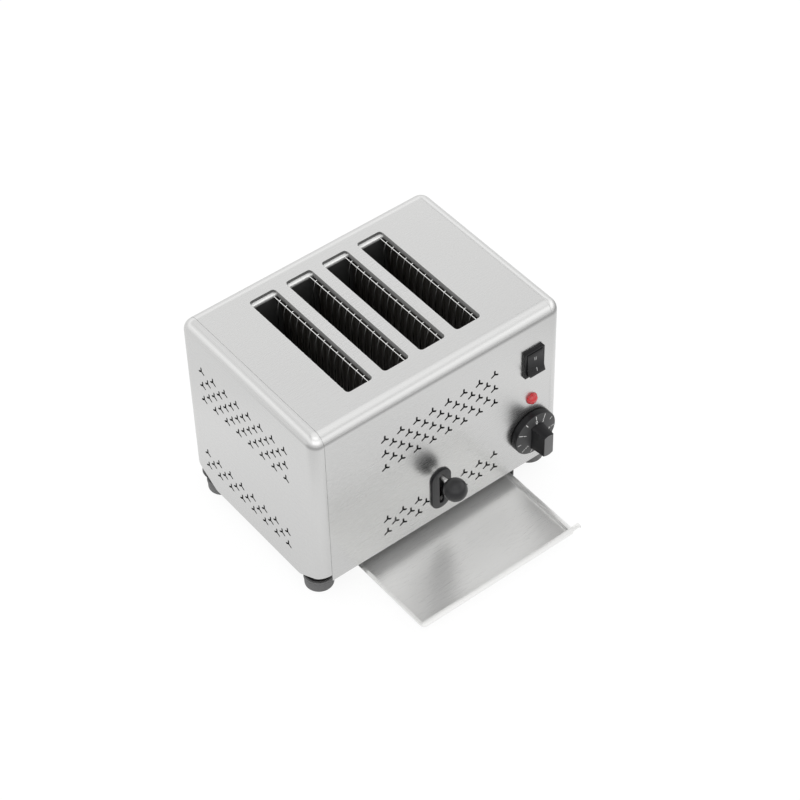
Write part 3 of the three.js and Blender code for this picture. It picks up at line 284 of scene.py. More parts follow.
def star_field_tree():
    """Rows of three-armed holes as flat curves; every other row is shifted and one hole shorter."""
    tree = tree_of("star_field", field_sockets + star_sockets)
    given = tree.nodes.new("NodeGroupInput").outputs

    def sums(operation, *values):
        return calculated(tree, operation, *values)

    count = sums("MULTIPLY", given["Rows"], given["Columns"])
    index = tree.nodes.new("GeometryNodeInputIndex").outputs[0]
    row = sums("FLOOR", sums("DIVIDE", sums("ADD", index, 0.5), given["Columns"]))
    column = sums("SUBTRACT", index, sums("MULTIPLY", row, given["Columns"]))
    odd = sums("MODULO", row, 2.0)
    across = sums("MULTIPLY", sums("MULTIPLY_ADD", odd, 0.5, column), given["Column Pitch"])
    u = sums("ADD", given["First Column"], across)
    v = sums("SUBTRACT", given["Top Row"], sums("MULTIPLY", row, given["Row Pitch"]))
    spot = add(tree, "ShaderNodeCombineXYZ", {"X": u, "Y": v}).outputs[0]
    points = add(tree, "GeometryNodePoints", {"Count": count, "Position": spot}).outputs[0]
    last = sums("COMPARE", column, sums("SUBTRACT", given["Columns"], 1.0), 0.1)
    spare = sums("MULTIPLY", odd, last)
    aside = sums("ABSOLUTE", sums("SUBTRACT", u, given["Clear Middle"]))
    above = sums("ABSOLUTE", sums("SUBTRACT", v, given["Clear Height"]))
    covered = sums(
        "MULTIPLY",
        sums("LESS_THAN", aside, given["Clear Half Width"]),
        sums("LESS_THAN", above, given["Clear Half Height"]),
    )
    drop = sums("GREATER_THAN", sums("ADD", spare, covered), 0.5)
    dropped = {"Geometry": points, "Selection": drop}
    kept = add(tree, "GeometryNodeDeleteGeometry", dropped, domain="POINT").outputs[0]
    # Fifteen points round a hole: for each arm a corner at its root and four round its blunt end.
    # The root lies the tangent of 30 degrees along, where the sides of two arms meet.
    ring = add(tree, "GeometryNodeMeshCircle", {"Vertices": 15}).outputs[0]
    corner = tree.nodes.new("GeometryNodeInputIndex").outputs[0]
    arm = sums("FLOOR", sums("DIVIDE", sums("ADD", corner, 0.5), 5.0))
    step = sums("SUBTRACT", corner, sums("MULTIPLY", arm, 5.0))
    root = sums("LESS_THAN", step, 0.5)
    bow = sums("MULTIPLY_ADD", step, math.pi / 3, -math.pi * 5 / 6)
    half = given["Arm Half Width"]
    along = sums(
        "MULTIPLY_ADD", sums("COSINE", bow), half, sums("SUBTRACT", given["Arm Length"], half)
    )
    aside = sums("MULTIPLY", sums("SINE", bow), half)
    spot = [
        add(tree, "ShaderNodeMix", {0: root, 2: tip, 3: sums("MULTIPLY", half, share)}).outputs[0]
        for tip, share in ((along, 0.57735), (aside, -1.0))
    ]
    flat = add(tree, "ShaderNodeCombineXYZ", {"X": spot[0], "Y": spot[1]}).outputs[0]
    angle = sums("MULTIPLY_ADD", arm, math.pi * 2 / 3, math.pi / 2)
    spun = add(tree, "ShaderNodeVectorRotate", {"Vector": flat, "Angle": angle}).outputs[0]
    moved = {"Geometry": ring, "Position": spun}
    outline = add(tree, "GeometryNodeSetPosition", moved).outputs[0]
    star = add(tree, "GeometryNodeMeshToCurve", {"Mesh": outline}).outputs[0]
    holes = add(tree, "GeometryNodeInstanceOnPoints", {"Points": kept, "Instance": star})
    curves = add(tree, "GeometryNodeRealizeInstances", {"Geometry": holes.outputs[0]}).outputs[0]
    add(tree, "NodeGroupOutput", {"Geometry": curves})
    return tree


def made_real(tree, geometry, material):
    """Ends a tree in real faces with their material."""
    real_faces = add(tree, "GeometryNodeRealizeInstances", {"Geometry": geometry}).outputs[0]
    wires = {"Geometry": real_faces, "Material": material}
    painted = add(tree, "GeometryNodeSetMaterial", wires).outputs[0]
    add(tree, "NodeGroupOutput", {"Geometry": painted})


def punched_sheet_tree():
    """Fills the outline that comes in, except for its holes and two fields of stars."""
    lower = [("Lower " + label, kind, value) for label, kind, value in field_sockets]
    tree = tree_of("punched_sheet", field_sockets + lower + star_sockets)
    given = tree.nodes.new("NodeGroupInput").outputs
    outline = add(tree, "GeometryNodeMeshToCurve", {"Mesh": given["Geometry"]}).outputs[0]
    together = tree.nodes.new("GeometryNodeJoinGeometry")
    tree.links.new(outline, together.inputs[0])
    for prefix in ("", "Lower "):
        wires = {label: given[prefix + label] for label, _, _ in field_sockets}
        wires.update({label: given[label] for label, _, _ in star_sockets})
        field = tree.nodes.new("GeometryNodeGroup")
        field.node_tree = star_field
        for label, socket in wires.items():
            tree.links.new(socket, field.inputs[label])
        tree.links.new(field.outputs[0], together.inputs[0])
    filled = add(tree, "GeometryNodeFillCurve", {"Curve": together.outputs[0]}).outputs[0]
    made_real(tree, filled, wrap_steel)
    return tree


wrap_steel = satin("wrap_satin_steel", (0.67, 0.67, 0.665), 0.27, (60, 9000, 9000), 0.01)
# Painted shade: the sheet's inner side and the cut rims of its holes are near black, so the holes
# look dark.
cut_edge_painted_shade = satin("cut_edge_and_inner_side_painted_shade", (0.014,) * 3, 0.55, (500,) * 3, metallic=0.3)
# Painted shade for the lips at the slots' back ends, and duller painted light for their right-hand
# lips.
rear_lip_painted_shade = satin("rear_lip_painted_shade_steel", (0.1,) * 3, 0.25, (900,) * 3)
side_lip_painted_light = satin("side_lip_painted_light_steel", (0.27, 0.27, 0.265), 0.65, (900,) * 3, metallic=0.35)
casing_finishes = [wrap_steel, cut_edge_painted_shade, rear_lip_painted_shade, side_lip_painted_light]
star_field = star_field_tree()
punched_sheet = punched_sheet_tree()


def punched_blank(loops, **fields):
    """A flat sheet in the plane of its two coordinates, from closed loops and fields of stars."""
    points, edges = [], []
    for loop in loops:
        start = len(points)
        points += [(u * MM, v * MM, 0) for u, v in loop]
        edges += [(start + i, start + (i + 1) % len(loop)) for i in range(len(loop))]
    mesh = bpy.data.meshes.new("blank")
    mesh.from_pydata(points, edges, [])
    values = {"Rows": 0, "Lower Rows": 0}
    values.update({key.replace("_", " ").title(): value for key, value in fields.items()})
    return evaluated("blank", mesh, punched_sheet, values)


def quarter(steps):
    """Angles from nothing to a right angle."""
    return [math.pi / 2 * step / steps for step in range(steps + 1)]


def side_profile(inset, foot_front, foot_back):
    """The casing's line from the front's foot over the top to the back's, drawn in by an inset."""
    radius = max(bend_radius - inset, 0.0)
    front, back, top = inset, case_depth - inset, case_height - inset
    turns = quarter(bend_steps)
    bend = [(radius * (1 - math.cos(a)), top - radius * (1 - math.sin(a))) for a in turns]
    line = [(front, foot_front), (front, top - radius - support)]
    line += [(front + y, z) for y, z in bend]
    line += [(front + radius + support, top), (back - radius - support, top)]
    line += [(back - y, z) for y, z in reversed(bend)]
    return line + [(back, top - radius - support), (back, foot_back)]


def strip(shape, first, second, closed=False):
    """Quads between two rows of as many points."""
    rows = [[shape.verts.new(point) for point in row] for row in (first, second)]
    count = len(first)
    for i in range(count if closed else count - 1):
        j = (i + 1) % count
        shape.faces.new((rows[0][i], rows[0][j], rows[1][j], rows[1][i]))


def rounded(u0, u1, v0, v1, radius, steps=6):
    """A rectangle with round corners, the same number of points whatever its size."""
    corners = [(u1 - radius, v0 + radius, -90), (u1 - radius, v1 - radius, 0)]
    corners += [(u0 + radius, v1 - radius, 90), (u0 + radius, v0 + radius, 180)]
    turns = [(u, v, math.radians(start) + a) for u, v, start in corners for a in quarter(steps)]
    return [(u + radius * math.cos(a), v + radius * math.sin(a)) for u, v, a in turns]


def circle(u, v, radius, sides=32):
    turns = [2 * math.pi * side / sides for side in range(sides)]
    return [(u + radius * math.cos(a), v + radius * math.sin(a)) for a in turns]


def stadium(u, low, high, width, steps=16):
    radius = width / 2
    top = [math.pi * step / steps for step in range(steps + 1)]
    points = [(u + radius * math.cos(a), high - radius + radius * math.sin(a)) for a in top]
    return points + [(u - radius * math.cos(a), low + radius - radius * math.sin(a)) for a in top]


def finish(shape, name, outward=None, wall=0.0, edge=0.0, angle=28, weld=2e-6):
    """Welds a mesh, turns its faces outward, and gives it a wall and softened edges if asked."""
    bmesh.ops.remove_doubles(shape, verts=shape.verts, dist=weld)
    bmesh.ops.dissolve_degenerate(shape, edges=shape.edges, dist=weld / 10)
    bmesh.ops.recalc_face_normals(shape, faces=shape.faces)
    if outward:
        spot, way = Vector(outward[0]), Vector(outward[1])
        nearest = min(shape.faces, key=lambda f: (f.calc_center_median() - spot).length)
        if nearest.normal.dot(way) < 0:
            bmesh.ops.reverse_faces(shape, faces=shape.faces)
    mesh = bpy.data.meshes.new(name)
    shape.to_mesh(mesh)
    shape.free()
    if wall:
        for material in casing_finishes:
            mesh.materials.append(material)
    if wall or edge:
        carrier = placed(name, mesh)
        if wall:
            modifier = carrier.modifiers.new("wall", "SOLIDIFY")
            modifier.thickness = wall * MM
            modifier.offset = -1
            # The inner side and the rims take the next finish, which on the casing is painted
            # shade.
            modifier.material_offset = 1
            modifier.material_offset_rim = 1
        if edge:
            modifier = carrier.modifiers.new("edge", "BEVEL")
            modifier.width = edge * MM
            modifier.segments = 2
            modifier.angle_limit = math.radians(30)
        mesh = baked(carrier)
        mesh.name = name
    mesh.shade_smooth()
    mesh.set_sharp_from_angle(angle=math.radians(angle))
    return placed(name, mesh)


def fitted(piece, finishes, body, slot, *replaced):
    """Gives a piece its finishes, its body and the nodes that it stands for. Its slot is not used.
    """
    paints = [face.material_index for face in piece.data.polygons]
    piece.data.materials.clear()
    several = isinstance(finishes, list)
    for material in finishes if several else [finishes]:
        piece.data.materials.append(material)
    if several:
        piece.data.polygons.foreach_set("material_index", paints)
    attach(piece, body)
    if replaced:
        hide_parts(*replaced)
    return piece


def joined_in(shape, mesh, matrix):
    mesh.transform(matrix)
    shape.from_mesh(mesh)
    bpy.data.meshes.remove(mesh)


def real(x, y, z):
    """Millimetres from the casing's middle, from the front sheet and from the surface."""
    return (x * MM, y * MM + FRONT, z * MM)


# The wrap: one sheet that goes up the front, over the top and down the back.
# Its four slots have turned-down lips, and the controls sit in round and square holes of its front.
slot_centres = [-68.95, -25.95, 17.05, 60.05]
slot_half, slot_front, slot_back, slot_corner = 14.85, 32.8, 186.9, 3.5
lip_radius, lip_depth = 0.8, 6.2
front_foot, back_foot = 26.0, 15.7
lever_x, column_x = -2.5, 112.3
timer_z, lamp_z, switch_z = 71.0, 115.0, 167.0
lead_x, lead_z = 112.0, 48.0
switch_hole_left, switch_hole_right, switch_hole_half = 101.4, 123.2, 15.2
field_rows = {
    "top_row": 0.17815,
    "row_pitch": 0.00965,
    "rows": 5,
    "lower_row_pitch": 0.009,
    "lower_rows": 3,
}
# Where a flat blank goes: its two coordinates run across and up, or across and back on top.
on_front = Matrix(((1, 0, 0, 0), (0, 0, -1, FRONT), (0, 1, 0, 0), (0, 0, 0, 1)))
on_top = Matrix(((1, 0, 0, 0), (0, 1, 0, FRONT), (0, 0, 1, case_height * MM), (0, 0, 0, 1)))
on_back = Matrix(((1, 0, 0, 0), (0, 0, -1, FRONT + case_depth * MM), (0, 1, 0, 0), (0, 0, 0, 1)))

wrap = bmesh.new()
high = case_height - bend_radius - support
front_loops = [
    [(-seam_x, front_foot), (seam_x, front_foot), (seam_x, high), (-seam_x, high)],
    stadium(lever_x, low=45.2, high=85.8, width=6.8),
    rounded(
        switch_hole_left,
        switch_hole_right,
        switch_z - switch_hole_half,
        switch_z + switch_hole_half,
        radius=0.5,
        steps=2,
    ),
    circle(column_x, timer_z, radius=5.3),
    circle(column_x, lamp_z, radius=5.0),
]
joined_in(
    wrap,
    punched_blank(
        front_loops,
        first_column=-0.0674,
        lower_first_column=-0.0674,
        lower_top_row=0.0665,
        **field_rows,
        clear_middle=lever_x * MM,
        clear_height=0.0655,
        clear_half_width=0.012,
        clear_half_height=0.0265,
    ),
    on_front,
)


def slot_line(x, out):
    """A bread slot's outline, widened on all sides."""
    sides = (x - slot_half - out, x + slot_half + out, slot_front - out, slot_back + out)
    return rounded(*sides, slot_corner + out)


near, far = bend_radius + support, case_depth - bend_radius - support
top_loops = [[(-seam_x, near), (seam_x, near), (seam_x, far), (-seam_x, far)]]
top_loops += [slot_line(x, lip_radius + support) for x in slot_centres]
joined_in(wrap, punched_blank(top_loops), on_top)
back_loops = [
    [(-seam_x, back_foot), (seam_x, back_foot), (seam_x, high), (-seam_x, high)],
    circle(lead_x, lead_z, radius=5.8),
]
joined_in(wrap, punched_blank(back_loops), on_back)
line = side_profile(0, front_foot, back_foot)
bends = [line[1 : bend_steps + 4], line[-(bend_steps + 4) : -1]]
for bend in bends:
    strip(wrap, *[[real(x, y, z) for y, z in bend] for x in (-seam_x, seam_x)])
lip = [(lip_radius + support, 0.0)]
lip += [(lip_radius * (1 - math.sin(a)), lip_radius * (1 - math.cos(a))) for a in quarter(5)]
lip += [(0.0, lip_depth)]
for x in slot_centres:
    loops = [[real(u, v, case_height - drop) for u, v in slot_line(x, out)] for out, drop in lip]
    for first, second in zip(loops, loops[1:]):
        strip(wrap, first, second, closed=True)
wrap_piece = finish(wrap, "casing_wrap", (real(0, 0, 120), (0, -1, 0)), wall=sheet)

# The lips at the back end of each slot get painted shade, and those on the right duller painted
# light.
lip_start, lip_end = 0.03, lip_depth + 0.3
for face in wrap_piece.data.polygons:
    if lip_start < case_height - face.center.z / MM < lip_end:
        faces_front, at_back = face.normal.y < -0.3, face.center.y > 0.1
        faces_left, over_slots = face.normal.x < -0.6, abs(face.center.x) < 0.12
        if faces_front and at_back:
            face.material_index = casing_finishes.index(rear_lip_painted_shade)
        elif faces_left and over_slots:
            face.material_index = casing_finishes.index(side_lip_painted_light)
fitted(wrap_piece, casing_finishes, "chassis", "stainless", "wrap_cover")


# The side panels: shallow drawn pans with rounded edges, pushed in under the wrap's edge.
# The lower corners are cut off on a slope above the feet, and both sides are perforated.
pan_foot = 12.0
edge_radius = 12.0
toe_rise, toe_run, toe_blend = 22.5, 37.0, 8.0


def toe_height(y):
    return pan_foot + toe_rise * (1 - y / toe_run)


def pan_ring(away, inset):
    low = toe_height(inset)
    return [(case_half - away, y, z) for y, z in side_profile(inset, low, low)]


def toe_line(start):
    """The slope from a starting place down to the lower edge, with its soft corner."""
    slope = math.atan2(toe_rise, toe_run)
    blend = toe_blend * math.tan(slope / 2)
    first = (toe_run - blend * math.cos(slope), pan_foot + blend * math.sin(slope))
    last = (toe_run + blend, pan_foot)
    curve = []
    for share in (0.0, 0.2, 0.4, 0.6, 0.8, 1.0):
        a, b, c = (1 - share) ** 2, 2 * share * (1 - share), share**2
        y = a * first[0] + b * toe_run + c * last[0]
        curve.append((y, a * first[1] + b * pan_foot + c * last[1]))
    return [(start, toe_height(start))] + curve


# From the flange under the wrap to the side's flat, as pairs of way in from the side and inset.
# The right pan stands closer under the wrap, so that its seam hardly shows.
left_seam = [(18.0, 1.1), (12.4, 1.1), (12.38, 1.0), (12.38, 0.2), (12.3, 0.06), (11.9, 0.0)]
right_seam = [(18.0, 1.1), (12.47, 1.1), (12.45, 1.0), (12.44, 0.25), (12.3, 0.12), (11.6, 0.0)]
pan_edge = [(edge_radius * (1 - math.sin(a)), edge_radius * (1 - math.cos(a))) for a in quarter(12)]
pan_edge = [ring for ring in pan_edge if ring[0] < 11.5] + [(0.0, edge_radius + support)]
for side, name, node, seam in (
    (-1, "left_pan", "left_side_panel", left_seam),
    (1, "right_pan", "right_side_panel", right_seam),
):
    pan = bmesh.new()
    lines = [[real(side * x, y, z) for x, y, z in pan_ring(*ring)] for ring in seam + pan_edge]
    for first, second in zip(lines, lines[1:]):
        strip(pan, first, second)
    inset = edge_radius + support
    edge = [(y, z) for _, y, z in pan_ring(0, inset)]
    toe = toe_line(inset)
    foot = toe[1:] + [(case_depth - y, z) for y, z in reversed(toe[1:])]
    joined_in(
        pan,
        punched_blank(
            [edge[::-1] + foot],
            first_column=case_depth * MM - 0.0325,
            column_pitch=-0.0189,
            lower_first_column=case_depth * MM - 0.0279,
            lower_top_row=0.0598,
            **field_rows,
        ),
        Matrix(((0, 0, 1, side * case_half * MM), (1, 0, 0, FRONT), (0, 1, 0, 0), (0, 0, 0, 1))),
    )
    outward = (real(side * case_half, 106, 130), (side, 0, 0))
    piece = finish(pan, name, outward, wall=sheet, weld=8e-6)
    pan_steel = satin(name + "_satin_steel", (0.67, 0.67, 0.665), 0.27, (9000, 60, 9000))
    fitted(piece, [pan_steel, cut_edge_painted_shade], "chassis", "stainless", node)


# The base pan, bulkheads and chamber walls: bent from plain zinc-plated sheet, dull and a little
# cloudy. They keep their CAD shapes, as do the racks and the bars of the lift.
def coated(material, *names):
    """Gives a finish to CAD nodes that keep their shape."""
    for name in names:
        nodes[name].material_slots[0].material = material


def painted_shade_below(material, low, high, dark):
    """Painted shade that darkens a metal below a height, towards the foot of the chamber."""
    tree = material.node_tree
    shader = next(node for node in tree.nodes if node.type == "BSDF_PRINCIPLED")
    before = shader.inputs["Base Color"].links[0].from_socket
    place = add(tree, "ShaderNodeTexCoord").outputs["Object"]
    spread = {0: along_axis(tree, place, "Z"), 1: low, 2: high, 3: dark, 4: 1.0}
    level = add(tree, "ShaderNodeMapRange", spread).outputs[0]
    shade = add(tree, "ShaderNodeVectorMath", {0: before, 3: level}, operation="SCALE").outputs[0]
    tree.links.new(shade, shader.inputs["Base Color"])


zinc = satin("zinc_plated_sheet", (0.22, 0.22, 0.218), 0.45, (300,) * 3, 0.05)
coated(zinc, "base_pan", "front_bulkhead", "left_chamber_wall", "right_chamber_wall")
# The rear bulkhead's flange is painted near white as a painted highlight, with painted shade below
# it.
rear_sheet_highlight_and_shade = satin("rear_sheet_painted_highlight_and_shade", (0.95, 0.95, 0.94), 0.5, (300,) * 3, 0.03, 0.5)
painted_shade_below(rear_sheet_highlight_and_shade, low=0.2185, high=0.2212, dark=0.06)
coated(rear_sheet_highlight_and_shade, "rear_bulkhead")


# The heating boards: dark mica with notched edges. A flat resistance ribbon runs to and fro
# along each board, threaded through upright slits so that it shows as rows of short dashes.
def board_paint():
    material, tree, place = new_material("dark_mica")
    flakes = noise(tree, place, 900.0, 2.0)
    tint = blended(tree, flakes, (0.012, 0.011, 0.01, 1), (0.05, 0.045, 0.038, 1))
    surfaced(tree, {"Base Color": tint, "Roughness": 0.5})
    return material


def ribbon_tree():
    """Rows of flat dashes on both faces of a board at X zero, half a step apart."""
    sockets = [
        ("Columns", COUNT, 14),
        ("Rows", COUNT, 74),
        ("Column Pitch", NUMBER, 0.0102),
        ("Row Pitch", NUMBER, 0.0021),
        ("Length", NUMBER, 0.0056),
        ("Height", NUMBER, 0.0009),
        ("Thickness", NUMBER, 0.00015),
        ("Face", NUMBER, 0.0006),
    ]
    tree = tree_of("threaded_ribbon", sockets)
    given = tree.nodes.new("NodeGroupInput").outputs
    sizes = {"X": given["Thickness"], "Y": given["Length"], "Z": given["Height"]}
    size = add(tree, "ShaderNodeCombineXYZ", sizes).outputs[0]
    dash = add(tree, "GeometryNodeMeshCube", {"Size": size}).outputs[0]
    wide, tall = [
        calculated(tree, "MULTIPLY", calculated(tree, "SUBTRACT", given[count], 1.0), given[pitch])
        for count, pitch in (("Columns", "Column Pitch"), ("Rows", "Row Pitch"))
    ]
    spread = {"Size X": tall, "Size Y": wide}
    spread.update({"Vertices X": given["Rows"], "Vertices Y": given["Columns"]})
    grid = add(tree, "GeometryNodeMeshGrid", spread).outputs[0]
    rows = tree.nodes.new("GeometryNodeJoinGeometry")
    for side in (-1.0, 1.0):
        across = calculated(tree, "MULTIPLY", given["Face"], side)
        along = calculated(tree, "MULTIPLY", given["Column Pitch"], 0.25 * side)
        spot = add(tree, "ShaderNodeCombineXYZ", {"X": across, "Y": along}).outputs[0]
        upended = {"Geometry": grid, "Rotation": (0, math.pi / 2, 0), "Translation": spot}
        stood = add(tree, "GeometryNodeTransform", upended).outputs[0]
        dashes = add(tree, "GeometryNodeInstanceOnPoints", {"Points": stood, "Instance": dash})
        tree.links.new(dashes.outputs[0], rows.inputs[0])
    made_real(tree, rows.outputs[0], ribbon_metal)
    return tree


mica = board_paint()
ribbon_metal = satin("resistance_ribbon", (0.3, 0.29, 0.28), 0.45, (900, 60, 900), 0.1)
ribbons = ribbon_tree()
board_centres = [-92.0, -49.0, -6.0, 37.0, 80.0]
board_middle, board_height = 107, 135
for index, x in enumerate(board_centres):
    coated(mica, f"heater_board_{index + 1}")
    mesh = evaluated("ribbon", bpy.data.meshes.new("seed"), ribbons, {})
    mesh.transform(Matrix.Translation(real(x, board_middle, board_height)))
    piece = placed(f"heater_ribbon_{index + 1}", mesh)
    fitted(piece, ribbon_metal, "chassis", "inner_steel")


# The bread guards: on both sides of each slot a long bright wire, with fourteen thin uprights
# that hook over it, lean into the slot and run down to the foot of the chamber.
def guard_tree():
    sockets = [
        ("Uprights", COUNT, 14),
        ("Pitch", NUMBER, 0.01003),
        ("First", NUMBER, 0.0428 + FRONT),
        ("Rail Start", NUMBER, 0.0322 + FRONT),
        ("Rail End", NUMBER, 0.1822 + FRONT),
        ("Rail Across", NUMBER, 0.0118),
        ("Rail Height", NUMBER, 0.2207),
        ("Rail Radius", NUMBER, 0.0005),
        ("Wire Radius", NUMBER, 0.00042),
        ("Bend Radius", NUMBER, 0.0012),
    ]
    tree = tree_of("wire_guard", sockets)
    given = tree.nodes.new("NodeGroupInput").outputs
    ends = {}
    for end in ("Start", "End"):
        wires = {"X": given["Rail Across"], "Y": given["Rail " + end], "Z": given["Rail Height"]}
        ends[end] = add(tree, "ShaderNodeCombineXYZ", wires).outputs[0]
    rail = add(tree, "GeometryNodeCurvePrimitiveLine", ends).outputs[0]
    path = add(tree, "GeometryNodeMeshToCurve", {"Mesh": given["Geometry"]}).outputs[0]
    rounding = {"Curve": path, "Count": 4, "Radius": given["Bend Radius"]}
    bent = add(tree, "GeometryNodeFilletCurve", rounding, mode="POLY").outputs[0]
    start = add(tree, "ShaderNodeCombineXYZ", {"Y": given["First"]}).outputs[0]
    step = add(tree, "ShaderNodeCombineXYZ", {"Y": given["Pitch"]}).outputs[0]
    spread = {"Count": given["Uprights"], "Start Location": start, "Offset": step}
    line = add(tree, "GeometryNodeMeshLine", spread).outputs[0]
    turns = add(tree, "GeometryNodeInstanceOnPoints", {"Points": line, "Instance": bent}).outputs[0]
    uprights = add(tree, "GeometryNodeRealizeInstances", {"Geometry": turns}).outputs[0]
    wires = tree.nodes.new("GeometryNodeJoinGeometry")
    for curve, radius in ((rail, "Rail Radius"), (uprights, "Wire Radius")):
        thick = {"Resolution": 10, "Radius": given[radius]}
        round_wire = add(tree, "GeometryNodeCurvePrimitiveCircle", thick).outputs[0]
        drawing = {"Curve": curve, "Profile Curve": round_wire, "Fill Caps": True}
        drawn = add(tree, "GeometryNodeCurveToMesh", drawing)
        tree.links.new(drawn.outputs[0], wires.inputs[0])
    smooth = add(tree, "GeometryNodeSetShadeSmooth", {"Geometry": wires.outputs[0]}).outputs[0]
    made_real(tree, smooth, bright_wire)
    return tree


# The guards' copy of the bright wire gets painted shade below the rail, darker deeper in the slot.
bright_wire, guard_wire_painted_shade = [
    satin(name, (0.9, 0.9, 0.89), 0.38, (2000,) * 3) for name in ("bright_drawn_wire", "guard_wire_painted_shade")
]
painted_shade_below(guard_wire_painted_shade, low=0.2, high=0.2195, dark=0.06)
guard = guard_tree()
guard_middles = [-69.75, -26.75, 16.25, 59.25]
left_further_out = 1.0
upright = [(13.3, 222.1), (11.3, 221.4), (8.8, 212.7), (8.8, 52.0)]
for index, middle in enumerate(guard_middles):
    for side, word, x in ((-1, "left", middle - left_further_out), (1, "right", middle)):
        path = bpy.data.meshes.new("upright")
        bends = [(u * MM, 0, v * MM) for u, v in upright]
        path.from_pydata(bends, [(0, 1), (1, 2), (2, 3)], [])
        mesh = evaluated("guard", path, guard, {})
        mesh.transform(Matrix.Translation((x * MM, 0, 0)) @ Matrix.Diagonal((side, 1, 1, 1)))
        if side < 0:
            mesh.flip_normals()
        piece = placed(f"guard_wires_{index + 1}_{word}", mesh)
        fitted(piece, guard_wire_painted_shade, "chassis", "bright_wire", f"wire_guard_{index + 1}_{word}")


# The lift: a folded carriage on two ground rods with coil springs, four folded racks
# that the bread stands on, a rear bar, and an armature that the magnet holds down.
coated(zinc, "lift_carriage", "lift_rear_bar", "armature", "hold_magnet")
coated(zinc, *[f"bread_rack_{number}" for number in range(1, 5)])
for side in ("left", "right"):
    coated(bright_wire, "guide_rod_" + side, "return_spring_" + side)


# The lever: a flat bright bar that comes from the lift's carriage through a slot of the front
# sheet, with a black moulded ball pushed on its stem.
def moulded(name, colour, roughness, texture=2500.0, depth=0.06, shine=0.5):
    """Plastic or rubber with a fine even grain."""
    material, tree, place = new_material(name)
    cloud = noise(tree, place, 60.0, 3.0)
    spread = {0: cloud, 1: 0.3, 2: 0.7, 3: roughness - 0.04, 4: roughness + 0.05}
    settings = {
        "Base Color": blended(tree, cloud, *shades(colour, 0.9, 1.1)),
        "Roughness": add(tree, "ShaderNodeMapRange", spread).outputs[0],
        "Specular IOR Level": shine,
        "Normal": grained(tree, noise(tree, place, texture, 1.0), depth),
    }
    surfaced(tree, settings)
    return material


def turned(shape, profile, centre, axis="y", sides=64):
    """A turned skin from pairs of radius and place along an axis, in millimetres about a centre."""
    rows = []
    for radius, along in profile:
        ring = []
        for u, v in circle(0, 0, radius, sides) if radius else [(0, 0)]:
            way = (u, along, v) if axis == "y" else (u, v, along)
            ring.append(shape.verts.new(real(*[m + p for m, p in zip(centre, way)])))
        rows.append(ring)
    for first, second in zip(rows, rows[1:]):
        for side in range(sides):
            corner = [first[side % len(first)], first[(side + 1) % len(first)]]
            corner += [second[(side + 1) % len(second)], second[side % len(second)]]
            unique = list(dict.fromkeys(corner))
            if len(unique) > 2:
                shape.faces.new(unique)


ball_y, lever_height, ball_radius = -23, 82.5, 12
black_plastic = moulded("black_moulding", (0.008, 0.008, 0.009), 0.36, shine=0.22)
ball_plastic = moulded("black_ball_moulding", (0.012, 0.012, 0.013), 0.3, shine=0.42)
ball = bmesh.new()
arc = [math.radians(a) for a in range(-83, 68, 7)]
profile = [(0, -ball_radius)]
profile += [(ball_radius * math.cos(a), ball_radius * math.sin(a)) for a in arc]
profile += [(4.4, 11.3), (4.0, 11.5), (2.9, 11.5), (2.9, 6.0)]
turned(ball, profile, (lever_x, ball_y, lever_height))
ball_tip = real(lever_x, ball_y - ball_radius, lever_height)
ball_piece = finish(ball, "lever_ball", (ball_tip, (0, -1, 0)))
fitted(ball_piece, ball_plastic, "lift", "black_plastic", "lever_knob")


def softened(node, name, width, material, body, slot):
    """A copy of a CAD node with its edges broken, which stands for the node."""
    shape = bmesh.new()
    shape.from_mesh(nodes[node].data)
    bmesh.ops.remove_doubles(shape, verts=shape.verts, dist=1e-6)
    bmesh.ops.dissolve_limit(
        shape, angle_limit=math.radians(1), verts=shape.verts, edges=shape.edges
    )
    piece = finish(shape, name, edge=width, angle=32)
    return fitted(piece, material, body, slot, node)


softened("lever_arm", "lever_bar", 0.35, bright_wire, "lift", "bright_wire")


# The escutcheon: a flat black stadium plate with a broken edge, in front of the slot of the lever.
# Its forward face is painted a little paler than its edges, as a painted sheen.
plate_face = -2.2
plate_low, plate_high, plate_width = 39.0, 92.0, 24.0
way_low, way_high, way_width = 46.0, 85.0, 5.2


def plate_line(inset):
    return stadium(lever_x, plate_low + inset, plate_high - inset, plate_width - 2 * inset)


def lever_way(out):
    return stadium(lever_x, way_low - out, way_high + out, way_width + 2 * out)


def faced(piece, paint, before=1.0):
    """Gives the faces that look forward and lie in front of a place along Y another finish, such as
    a painted sheen.
    """
    for face in piece.data.polygons:
        if face.normal.y < -0.97 and face.center.y < before:
            face.material_index = paint


plate = bmesh.new()
for line, steps in (
    (plate_line, [(0.0, 0.0), (0.0, -1.6), (0.18, -2.02), (0.6, plate_face)]),
    (lever_way, [(0.35, plate_face), (0.1, -2.1), (0.0, -1.85), (0.0, 0.0)]),
):
    loops = [[real(u, y, v) for u, v in line(step)] for step, y in steps]
    for first, second in zip(loops, loops[1:]):
        strip(plate, first, second, closed=True)
for inset, out, y in ((0.6, 0.35, plate_face), (0.0, 0.0, 0.0)):
    flat = punched_blank([plate_line(inset), lever_way(out)])
    joined_in(plate, flat, Matrix.Translation((0, y * MM, 0)) @ on_front)
plate_piece = finish(plate, "lever_plate", (real(lever_x + 8, plate_face, 60), (0, -1, 0)))
# A paler painted sheen for the faces that look forward.
face_painted_sheen = moulded("black_face_painted_sheen", (0.045, 0.045, 0.046), 0.45, shine=0.3)
plate_finishes = [black_plastic, face_painted_sheen]
faced(plate_piece, plate_finishes.index(face_painted_sheen))
fitted(plate_piece, plate_finishes, "chassis", "black_plastic", "lever_escutcheon")


